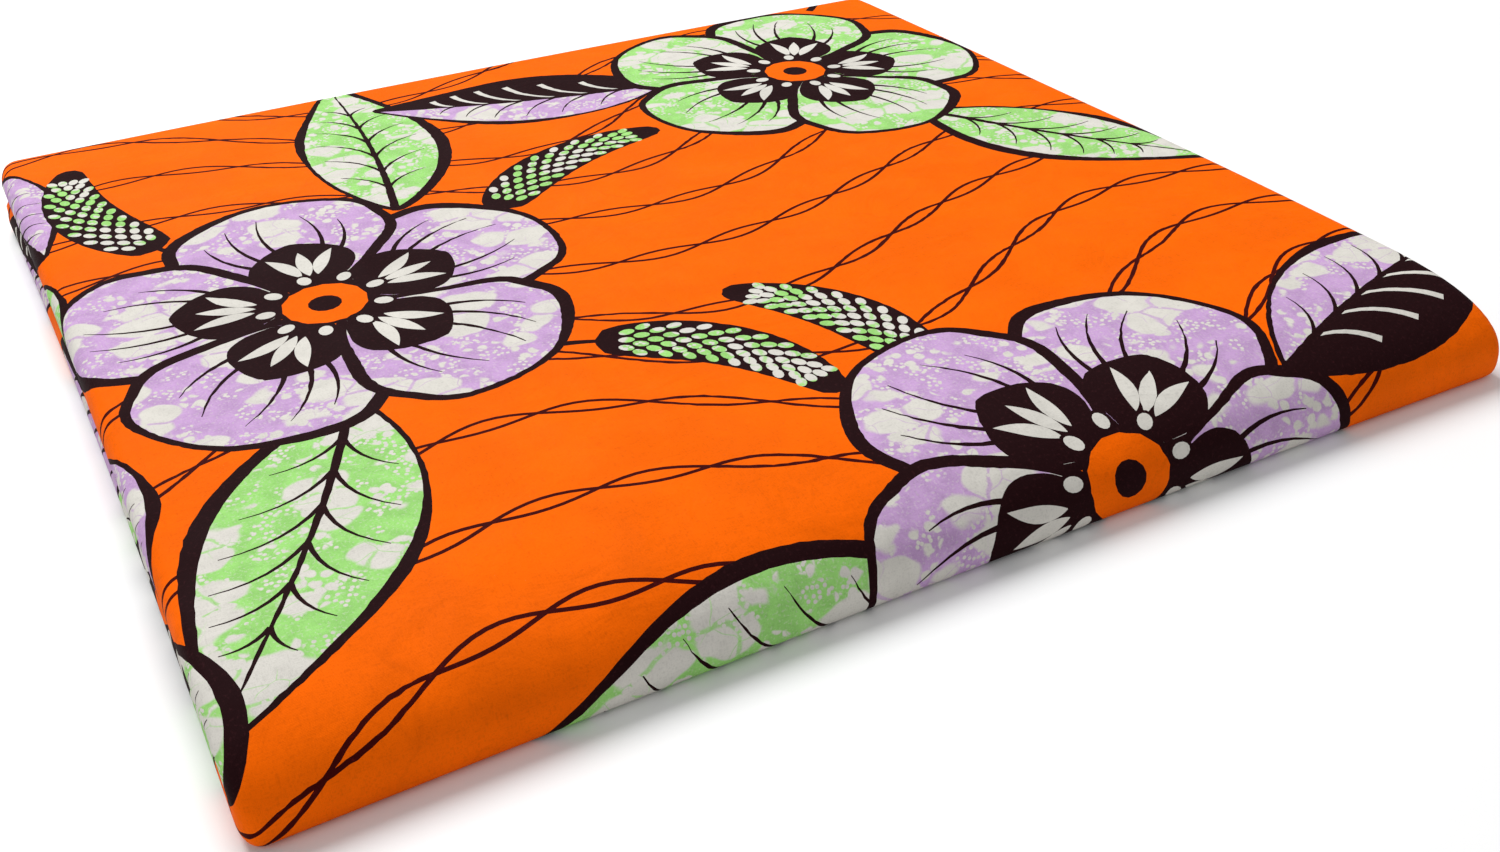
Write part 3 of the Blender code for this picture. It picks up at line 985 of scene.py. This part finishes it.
def plain(tree, flat, dye):
    """Deep dye with a few specks where threads took less of it."""
    return tree.mix(tree.noise(flat, 900.0, 2.0, 0.7).step(0.55, 0.80), rgba(dye), rgba(dye, 1.9))


def weave(tree, flat, thread):
    """The height of a plain weave: warp and weft threads, each over the other in turn."""
    across = tree.node("ShaderNodeSeparateXYZ", None, {"Vector": flat})
    turn = math.pi / thread
    warp, weft = (across * turn).sine(), (tree.other(across, 1) * turn).sine()
    over = (warp * weft) * 0.5 + 0.5
    return over * warp.size() + (1 - over) * weft.size()


def cotton(tree, flat, colour, cloth):
    """Matt woven cotton of a colour: threads of uneven thickness over soft, shallow wrinkles."""
    slub = tree.noise(tree.vectors("MULTIPLY", flat, (1.0, 0.18, 1.0)), 1500.0, 2.0, 0.6)
    slub = slub + tree.noise(tree.vectors("MULTIPLY", flat, (0.18, 1.0, 1.0)), 1500.0, 2.0, 0.6)
    wrinkle = tree.noise(tree.shifted(flat, 18.0, 2.0, 0.05), 60.0, 4.0, 0.55)
    soft = tree.node("ShaderNodeBump", None, {"Strength": 0.5, "Distance": 0.0012, "Height": wrinkle})
    height = weave(tree, flat, cloth.thread) * 0.5 + slub * 0.5
    values = {"Strength": 0.7, "Distance": 0.00008, "Height": height, "Normal": soft}
    woven = tree.node("ShaderNodeBump", None, values)
    values = {
        "Base Color": tree.mix((slub - 1.0).size() * 0.34, colour, rgba((0.0, 0.0, 0.0))),
        "Roughness": tree.noise(flat, 40.0, 2.0).step(0.2, 0.8) * 0.10 + 0.60,
        "Specular IOR Level": 0.02,
        "Normal": woven,
    }
    tree.surface(values)


def ink_materials(context):
    """The printed cloth's six materials, one for each ink, made once."""
    prints, cloth = context.scene.wax_print, context.scene.wax_cloth
    marbling = partial(marbled, bare=tuple(prints.pale))
    looks = (mottled, plain, plain, marbling, marbling, mottled)
    made = []
    for name, look in zip(INK_NAMES, looks):
        material = bpy.data.materials.get("printed_cotton_" + name)
        if material is None:
            material, tree = new_material("printed_cotton_" + name)
            flat = tree.node("ShaderNodeUVMap", {"uv_map": CLOTH_MAP})
            cotton(tree, flat, look(tree, flat, tuple(getattr(prints, name))), cloth)
        made.append(material)
    return made


def selvedge_material(context):
    """The edges of stacked plies. Each crosses the print at its own place, and has its own run of colours."""
    prints, cloth = context.scene.wax_print, context.scene.wax_cloth
    material, tree = new_material("selvedge_edges")
    ply = tree.node("ShaderNodeAttribute", {"attribute_name": "ply"}, output=2)
    shift = tree.xyz(X=ply * 0.37, Y=ply * 0.173)
    flat = tree.vectors("ADD", tree.node("ShaderNodeUVMap", {"uv_map": CLOTH_MAP}), shift)
    motif = tree.noise(flat, 16.0, 1.0)
    colour = mottled(tree, flat, tuple(prints.ground))
    tints = tree.mix(tree.noise(flat, 21.0, 1.0).step(0.49, 0.51), rgba(prints.green), rgba(prints.lilac))
    colour = tree.mix(motif.step(0.56, 0.565), colour, rgba(prints.dark))
    colour = tree.mix(motif.step(0.59, 0.595), colour, tints)
    colour = tree.mix(tree.noise(flat, 700.0, 2.0).step(0.35, 0.75) * 0.45, colour, rgba(prints.pale, 0.8))
    cotton(tree, flat, colour, cloth)
    return material


def thread_material(context):
    """Loose cut threads, dyed unevenly along their length."""
    prints = context.scene.wax_print
    material, tree = new_material("loose_thread")
    place = tree.node("ShaderNodeTexCoord", output=3)
    tint = tree.noise(place, 260.0, 2.0, dimensions="3D").step(0.40, 0.62)
    colour = tree.mix(tint, rgba(prints.ground, 0.8), rgba(prints.pale))
    tree.surface({"Base Color": colour, "Roughness": 0.75})
    return material


def inner_material(context):
    """The hidden plies as they show in a gap: patches of print, with painted shade between the plies as fine
    dark lines.
    """
    prints = context.scene.wax_print
    material, tree = new_material("inner_plies")
    place = tree.node("ShaderNodeTexCoord", output=3)
    height = tree.other(tree.node("ShaderNodeSeparateXYZ", None, {"Vector": place}), 2)
    # Painted shade: a fine dark line at every ply's height, where shade falls in the gaps between the plies
    line = (height * (math.tau / PLY_PITCH)).sine() * 0.5 + 0.5
    patch = tree.noise(place, 24.0, 2.0, dimensions="3D").step(0.45, 0.60)
    dye = tree.mix(patch, rgba(prints.ground), rgba(prints.dark))
    # The colour mixes the patches with painted shade, half as bright as the dark ink, along those lines
    tree.surface({"Base Color": tree.mix(line * 0.7, dye, rgba(prints.dark, 0.5)), "Roughness": 0.8})
    return material


def geometry_group(name, inputs):
    """A Geometry Nodes group with named inputs. Returns the group, its wiring and a term for each input."""
    group = bpy.data.node_groups.new(name, "GeometryNodeTree")
    for label, kind in (("Geometry", "NodeSocketGeometry"), *inputs):
        group.interface.new_socket(name=label, in_out="INPUT", socket_type=kind)
    group.interface.new_socket(name="Geometry", in_out="OUTPUT", socket_type="NodeSocketGeometry")
    tree = Wiring(group)
    first = tree.node("NodeGroupInput")
    given = {label: tree.other(first, label) for label, _ in (("Geometry", None), *inputs)}
    return group, tree, given


def uneven(tree, low, high, number, seed):
    """A random number for each element that number tells apart."""
    values = {2: low, 3: high, "ID": number, "Seed": seed}
    return tree.node("FunctionNodeRandomValue", {"data_type": "FLOAT"}, values, output=1)


def finish_geometry(tree, geometry, material):
    geometry = tree.node("GeometryNodeRealizeInstances", None, {"Geometry": geometry})
    geometry = tree.node("GeometryNodeSetMaterial", None, {"Geometry": geometry, "Material": material})
    tree.node("NodeGroupOutput", None, {"Geometry": geometry})


def made_by_nodes(context, mesh, group, values):
    """Runs a Geometry Nodes group on a mesh and keeps the result as a plain mesh."""
    piece = linked(context, mesh)
    modifier = piece.modifiers.new(group.name, "NODES")
    modifier.node_group = group
    for item in group.interface.items_tree:
        if item.in_out == "INPUT" and item.name in values:
            modifier[item.identifier] = values[item.name]
    context.view_layer.update()
    evaluated = piece.evaluated_get(context.evaluated_depsgraph_get())
    plain_mesh = bpy.data.meshes.new_from_object(evaluated)
    plain_mesh.name = piece.name
    piece.modifiers.clear()
    piece.data = plain_mesh
    bpy.data.meshes.remove(mesh)
    return piece


def ply_stack_group(material):
    """Copies a ribbon of cloth as a stack of plies between the outer face and the crease inside it."""
    floats = [(name, "NodeSocketFloat") for name in ("First depth", "Pitch", "Thickness", "Recess")]
    whole = [(name, "NodeSocketInt") for name in ("Plies", "First ply", "Seed")]
    group, tree, given = geometry_group("ply_stack", (*floats, *whole))
    ribbon = tree.node("GeometryNodeGeometryToInstance", None, {"Geometry": given["Geometry"]})
    values = {"Geometry": ribbon, "Amount": given["Plies"]}
    copies = tree.node("GeometryNodeDuplicateElements", {"domain": "INSTANCE"}, values)
    number = tree.other(copies, 1) + given["First ply"]
    settings = {"data_type": "FLOAT", "domain": "INSTANCE"}
    values = {"Geometry": copies, "Name": "ply", "Value": number}
    stored = tree.node("GeometryNodeStoreNamedAttribute", settings, values)
    real = tree.node("GeometryNodeRealizeInstances", None, {"Geometry": stored})

    ply, under, crease = (
        tree.node("GeometryNodeInputNamedAttribute", {"data_type": kind}, {"Name": name})
        for name, kind in (("ply", "FLOAT"), ("under", "FLOAT"), ("crease", "FLOAT_VECTOR"))
    )
    place = tree.node("GeometryNodeInputPosition")
    depth = given["First depth"] + ply * given["Pitch"] + under * given["Thickness"]
    laid_in = tree.node("ShaderNodeMix", {"data_type": "VECTOR"}, {0: depth, 4: place, 5: crease}, output=1)
    values = {"Vector": place, "W": ply * 3.7, "Scale": 28.0}
    wander = tree.node("ShaderNodeTexNoise", {"noise_dimensions": "4D"}, values)
    recess = given["Recess"] * (uneven(tree, 0.0, 0.6, ply, given["Seed"]) + wander * 0.8 - 0.2)
    inward = tree.xyz(X=0 - recess)
    values = {"Geometry": real, "Position": tree.vectors("ADD", laid_in, inward)}
    finish_geometry(tree, tree.node("GeometryNodeSetPosition", None, values), material)
    return group


def loose_thread_group(material):
    """Sets short bent threads along lines, each turned and scaled at random."""
    floats = [(name, "NodeSocketFloat") for name in ("Length", "Thickness", "Spacing")]
    group, tree, given = geometry_group("loose_threads", (*floats, ("Seed", "NodeSocketInt")))
    lines = tree.node("GeometryNodeMeshToCurve", None, {"Mesh": given["Geometry"]})
    values = {"Curve": lines, "Length": given["Spacing"]}
    points = tree.node("GeometryNodeCurveToPoints", {"mode": "LENGTH"}, values)
    number = tree.node("GeometryNodeInputIndex")
    seed = given["Seed"]
    aside = uneven(tree, -0.5, 0.5, number, seed) * given["Spacing"]
    points = tree.node("GeometryNodeSetPosition", None, {"Geometry": points, "Offset": tree.xyz(X=aside)})

    length = given["Length"]
    middle = tree.xyz(X=length * 0.15, Y=length * 0.55)
    end = tree.xyz(X=length * -0.25, Y=length)
    values = {"Resolution": 4, "Start": (0.0, 0.0, 0.0), "Middle": middle, "End": end}
    thread = tree.node("GeometryNodeCurveQuadraticBezier", None, values)
    values = {"Resolution": 3, "Radius": given["Thickness"] * 0.5}
    profile = tree.node("GeometryNodeCurvePrimitiveCircle", {"mode": "RADIUS"}, values)
    values = {"Curve": thread, "Profile Curve": profile, "Fill Caps": True}
    thread = tree.node("GeometryNodeCurveToMesh", None, values)
    turn = {
        "X": uneven(tree, -0.25, 0.25, number, seed + 1),
        "Y": uneven(tree, 0.0, math.tau, number, seed + 2),
        "Z": uneven(tree, -1.1, 1.1, number, seed + 3),
    }
    longer = uneven(tree, 0.25, 1.0, number, seed + 4)
    values = {
        "Points": points,
        "Instance": thread,
        "Rotation": tree.xyz(**turn),
        "Scale": tree.xyz(X=longer, Y=longer, Z=1.0),
    }
    finish_geometry(tree, tree.node("GeometryNodeInstanceOnPoints", None, values), material)
    return group


# The pieces


def spaced(start, end, cell):
    """Even places from start to end, about a cell apart."""
    return np.linspace(start, end, max(2, round(abs(end - start) / cell) + 1))


def joined(*runs):
    """Ascending places without repeats."""
    places = np.sort(np.concatenate(runs))
    return places[np.concatenate([[True], np.diff(places) > 1e-5])]


def over_sides(cell):
    """Places across the pack, close together round its left and right rolls."""
    left, right = roll_steps(LEFT_TABLE, LEFT_STEPS), roll_steps(RIGHT_TABLE, RIGHT_STEPS)
    return -FLAT_END - left, spaced(-FLAT_END, FLAT_END, cell), FLAT_END + right


def round_turn(start, end, cells):
    """Places along the turn, with the cells for under the pack, round the nose, up the slope and on top."""
    stops = (start, NOSE_START, NOSE_END, SLOPE_TOP, end)
    return [spaced(*stretch) for stretch in zip(stops, stops[1:], cells)]


def tube_faces(rows, ring, first=0):
    """Faces round a tube of rows of points, from the first of their corners on, and the two at its ends."""
    corner = np.arange(rows * ring).reshape(rows, ring)
    after = np.roll(corner, -1, axis=1)
    sides = np.stack([after[:-1], corner[:-1], corner[1:], after[1:]], axis=-1).reshape(-1, 4)
    return np.roll(sides, -first, axis=1).tolist() + [corner[0].tolist(), corner[-1, ::-1].tolist()]


def dressed(piece, node):
    """Attaches a piece of cloth to the root body and hides the part of the model that it stands for."""
    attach(piece, "root")
    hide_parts(node)


class CLOTH_OT_outer_turn(bpy.types.Operator):
    """Make the cloth that shows: top, round front, underside and the rolled edges"""

    bl_idname = "cloth.outer_turn"
    bl_label = "Outer turn"

    def execute(self, context):
        cloth = context.scene.wax_cloth
        us = joined([LEFT_TURNED - SIDE_TAIL, RIGHT_TURNED + SIDE_TAIL], *over_sides(cloth.cell))
        ws = joined(
            [W_UNDER_END - UNDER_TABLE[0, -1] - BACK_TAIL, TOP_END + TOP_TABLE[0, -1] + BACK_TAIL],
            W_UNDER_END - roll_steps(UNDER_TABLE, BACK_STEPS),
            *round_turn(W_UNDER_END, TOP_END, (cloth.cell * 2, NOSE_CELL, SLOPE_CELL, cloth.cell)),
            TOP_END + roll_steps(TOP_TABLE, TOP_STEPS),
        )
        place = over_relief(lambda u, w: settled(turn_point(u, w)), cloth.crease_depth)
        piece = printed_sheet(context, "outer_cloth", us, ws, place, lines=crease_lines())
        dressed(piece, "outer_turn")
        return {"FINISHED"}


def fold_strip(context, name, us, side, table, depths, set_backs, offset=(0.0, 0.0)):
    """A long strip of cloth folded at the back edge, in the upper (1) or lower (-1) half of the pack."""
    edge = TOP_END if side > 0 else W_UNDER_END
    runs = joined([-BACK_TAIL, table[0, -1] + BACK_TAIL], roll_steps(table, BACK_STEPS))
    ws = np.sort(edge + side * runs)

    def place(u, w):
        return settled(back_fold(u, side * (w - edge), side, table, *depths, set_back(u, *set_backs)))

    piece = printed_sheet(context, name, us, ws, place, offset)
    dressed(piece, "hidden_layers")


class CLOTH_OT_back_folds(bpy.types.Operator):
    """Make the folded edges that show at the back of the pack"""

    bl_idname = "cloth.back_folds"
    bl_label = "Back folds"

    def execute(self, context):
        cell = context.scene.wax_cloth.cell
        left = spaced(LEFT_FLAP_END, LEFT_TURNED - SIDE_TAIL, cell)
        right = spaced(RIGHT_TURNED + SIDE_TAIL, RIGHT_FLAP_END, cell)
        for end, us in (("left", left), ("right", right)):
            fold_strip(context, "upper_flap_" + end, us, 1, TOP_TABLE, (0.0, 1.0), TOP_SET_BACK)
            fold_strip(context, "lower_flap_" + end, us, -1, UNDER_TABLE, (0.0, OUTER_FOLD), UNDER_SET_BACK)
        us = whole_width(cell)
        fold_strip(context, "single_fold", us, -1, SINGLE_TABLE, SINGLE_FOLD, SINGLE_SET_BACK, SINGLE_OFFSET)
        return {"FINISHED"}


def whole_width(cell):
    """Places across the whole width of the cloth, from selvedge to selvedge."""
    left, right = spaced(LEFT_FLAP_END, LEFT_TURNED, cell), spaced(RIGHT_TURNED, RIGHT_FLAP_END, cell)
    return joined(left, *over_sides(cell), right)


def cut_place(depth):
    """Lays a cut end of the cloth at a depth in its group. Its edge is where w is 0."""

    def place(u, w):
        wave = sum(rise * np.sin(math.tau * u / length + phase * depth) for rise, length, phase in CUT_WAVES)
        back = set_back(u, *CUT_SET_BACK) + wave + (1 - depth) * CUT_SLANT
        return settled(back_fold(u, -w, -1, CUT_TABLE, depth, depth, back))

    return place


class CLOTH_OT_cut_ends(bpy.types.Operator):
    """Make the cut ends of the cloth at the back, with the threads that stick out of them"""

    bl_idname = "cloth.cut_ends"
    bl_label = "Cut ends"

    def execute(self, context):
        cloth = context.scene.wax_cloth
        us, ws = whole_width(cloth.cell / 2), np.array(CUT_ROWS)
        lines, edges = [], []
        for number, depth in enumerate(CUT_PLIES):
            place = cut_place(depth)
            offset = (CUT_OFFSET[0] * number, CUT_OFFSET[1])
            piece = printed_sheet(context, f"cut_end_{number + 1}", us, ws, place, offset)
            dressed(piece, "hidden_layers")
            start = len(us) * number
            edges += [(start + index, start + index + 1) for index in range(len(us) - 1)]
            edge = np.full_like(us, THREAD_START)
            lines.append(place(us, edge) - facing(place, us, edge) * cloth.ply / 2)
        mesh = bpy.data.meshes.new("loose_threads")
        mesh.from_pydata(np.concatenate(lines).tolist(), edges, [])
        values = {**THREAD_SIZES, "Seed": cloth.seed}
        piece = made_by_nodes(context, mesh, loose_thread_group(thread_material(context)), values)
        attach(piece, "root")
        return {"FINISHED"}


def ribbon(name, us, ws):
    """A closed ribbon of cloth on the outer face, which knows the crease inside it, for a stack of copies."""
    across, along = np.meshgrid(np.concatenate([us, us[::-1]]), ws)
    under = np.broadcast_to(np.repeat([0.0, 1.0], len(us)), across.shape)
    y, z, crease_y, crease_z = turn_rows(along)
    mesh = bpy.data.meshes.new(name)
    points = settled(np.stack([across, y, z], axis=-1)).reshape(-1, 3)
    mesh.from_pydata(points.tolist(), [], tube_faces(*across.shape))
    crease = mesh.attributes.new("crease", "FLOAT_VECTOR", "POINT")
    crease.data.foreach_set("vector", settled(np.stack([across, crease_y, crease_z], axis=-1)).ravel())
    mesh.attributes.new("under", "FLOAT", "POINT").data.foreach_set("value", under.ravel())
    add_cloth_map(mesh, np.stack([across.ravel(), along.ravel()], axis=1))
    return mesh


class CLOTH_OT_selvedges(bpy.types.Operator):
    """Make the edges of the plies that show at the right, between the two rolled edges"""

    bl_idname = "cloth.selvedges"
    bl_label = "Selvedges"

    def execute(self, context):
        cloth = context.scene.wax_cloth
        group = ply_stack_group(selvedge_material(context))
        us = HALF_LENGTH - np.array(STACK_INSETS)
        upper, lower = TOP_END - BACK_TAIL - STACK_TOP_GAP, W_UNDER_END + BACK_TAIL + STACK_LOWER_GAP
        front = W_NOSE - STACK_FRONT
        along = joined(spaced(lower, front, STACK_UNDER_CELL), spaced(front, upper, STACK_CELL))
        stretches = (
            # name, first ply, plies, places along the turn
            ("selvedges", 0, GROUP_PLIES, along),
            ("upper_roll_plies", 1, 6, spaced(upper, TOP_END - STACK_TOP_GAP, STACK_CELL)),
            ("lower_roll_plies", 5, 2, spaced(W_UNDER_END + STACK_UNDER_GAP, lower, STACK_CELL)),
        )
        reach = HALF_THICKNESS - CREASE_GAP / 2
        first = (2 * GROUP + CLEARANCE) / reach
        thickness = cloth.ply / reach
        for name, first_ply, plies, ws in stretches:
            values = {
                "First depth": first,
                "Pitch": (1 - first - thickness) / (GROUP_PLIES - 1),
                "Thickness": thickness,
                "Recess": STACK_RECESS,
                "Plies": plies,
                "First ply": first_ply,
                "Seed": cloth.seed,
            }
            piece = made_by_nodes(context, ribbon(name, us, ws), group, values)
            dressed(piece, "hidden_layers")
        return {"FINISHED"}


class CLOTH_OT_inner_layers(bpy.types.Operator):
    """Make the solid that the hidden plies share, which closes the view into the pack"""

    bl_idname = "cloth.inner_layers"
    bl_label = "Inner layers"

    def execute(self, context):
        under, top, left, right = CORE_INSETS
        ws = joined(*round_turn(W_UNDER_END + under, TOP_END - top, CORE_CELLS))
        y, z, crease_y, crease_z = turn_rows(ws)
        share = CORE_DEPTH / HALF_THICKNESS
        us = spaced(-HALF_LENGTH + left, HALF_LENGTH - right, CORE_CELLS[0])
        across, inner_y = np.meshgrid(us, y + (crease_y - y) * share, indexing="ij")
        inner_z = np.broadcast_to(z + (crease_z - z) * share, across.shape)
        points = settled(np.stack([across, inner_y, inner_z], axis=-1)).reshape(-1, 3)
        mesh = bpy.data.meshes.new("inner_layers")
        mesh.from_pydata(points.tolist(), [], tube_faces(*across.shape, first=1))
        mesh.materials.append(inner_material(context))
        piece = linked(context, mesh)
        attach(piece, "root")
        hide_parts("hidden_layers")
        return {"FINISHED"}


# The stage


def studio_light(context, name, place, size, power):
    """A round light that faces the middle of the pack."""
    light = bpy.data.lights.new(name, "AREA")
    light.shape = "DISK"
    light.size = size
    light.energy = power
    lamp = bpy.data.objects.new(name, light)
    lamp.location = place
    towards = Vector((0.0, 0.0, HALF_THICKNESS)) - Vector(place)
    lamp.rotation_euler = towards.to_track_quat("-Z", "Y").to_euler()
    context.scene.collection.objects.link(lamp)


def photo_camera(context):
    """The camera that the photograph was taken with, fitted to the pack's outline in it."""
    heading, pitch, roll = (math.radians(angle) for angle in CAMERA_ANGLES)
    flat = math.cos(pitch)
    ahead = Vector((math.sin(heading) * flat, math.cos(heading) * flat, -math.sin(pitch)))
    level = Vector((math.cos(heading), -math.sin(heading), 0))
    upright = level.cross(ahead)
    right = level * math.cos(roll) + upright * math.sin(roll)
    above = upright * math.cos(roll) - level * math.sin(roll)
    data = bpy.data.cameras.new("camera")
    data.sensor_width = SENSOR_WIDTH
    data.lens = FOCAL_PIXELS / PHOTO_WIDTH * SENSOR_WIDTH
    data.clip_start = 0.01
    camera = bpy.data.objects.new("camera", data)
    turned = Matrix((right, above, -ahead)).transposed().to_4x4()
    camera.matrix_world = Matrix.Translation(CAMERA_PLACE) @ turned
    context.scene.collection.objects.link(camera)
    context.scene.camera = camera


class CLOTH_OT_stage(bpy.types.Operator):
    """Make the floor, the lights and the camera"""

    bl_idname = "cloth.stage"
    bl_label = "Stage"

    def execute(self, context):
        stage = context.scene.wax_stage
        angle = np.linspace(0, math.tau, FLOOR_SIDES, endpoint=False)
        ring = np.stack([np.cos(angle), np.sin(angle), np.zeros(FLOOR_SIDES)], 1) * stage.floor_radius
        mesh = bpy.data.meshes.new(STAGE_FLOOR)
        mesh.from_pydata(ring.tolist(), [], [list(range(FLOOR_SIDES))])
        material, tree = new_material("pale_floor")
        tree.surface({"Base Color": rgba(stage.floor_colour), "Roughness": 0.6})
        mesh.materials.append(material)
        linked(context, mesh)
        for name, place, size in LIGHTS:
            studio_light(context, name, place, size, getattr(stage, name + "_power"))
        world = bpy.data.worlds.new("soft_world")
        world.use_nodes = True
        background = world.node_tree.nodes["Background"].inputs
        background["Color"].default_value = (1, 1, 1, 1)
        background["Strength"].default_value = stage.world_strength
        context.scene.world = world
        context.scene.view_settings.view_transform = "Standard"
        photo_camera(context)
        return {"FINISHED"}


class CLOTH_PT_sidebar(bpy.types.Panel):
    """Lists the pieces and their settings in the sidebar"""

    bl_idname = "CLOTH_PT_sidebar"
    bl_label = "Folded wax print cloth"
    bl_space_type = "VIEW_3D"
    bl_region_type = "UI"
    bl_category = "Cloth"

    def draw(self, context):
        for operator in OPERATORS:
            self.layout.operator(operator.bl_idname)
        for settings in (context.scene.wax_cloth, context.scene.wax_print, context.scene.wax_stage):
            column = self.layout.box().column()
            for name in settings.__annotations__:
                column.prop(settings, name)


OPERATORS = (
    CLOTH_OT_stage,
    CLOTH_OT_outer_turn,
    CLOTH_OT_back_folds,
    CLOTH_OT_cut_ends,
    CLOTH_OT_selvedges,
    CLOTH_OT_inner_layers,
)
CLASSES = (PrintSettings, ClothSettings, StageSettings, *OPERATORS, CLOTH_PT_sidebar)


def register():
    for cls in CLASSES:
        bpy.utils.register_class(cls)
    bpy.types.Scene.wax_print = PointerProperty(type=PrintSettings)
    bpy.types.Scene.wax_cloth = PointerProperty(type=ClothSettings)
    bpy.types.Scene.wax_stage = PointerProperty(type=StageSettings)


def unregister():
    for name in ("wax_print", "wax_cloth", "wax_stage"):
        delattr(bpy.types.Scene, name)
    for cls in reversed(CLASSES):
        bpy.utils.unregister_class(cls)


def main():
    register()
    for operator in OPERATORS:
        group, name = operator.bl_idname.split(".")
        getattr(getattr(bpy.ops, group), name)()


if __name__ == "__main__":
    main()
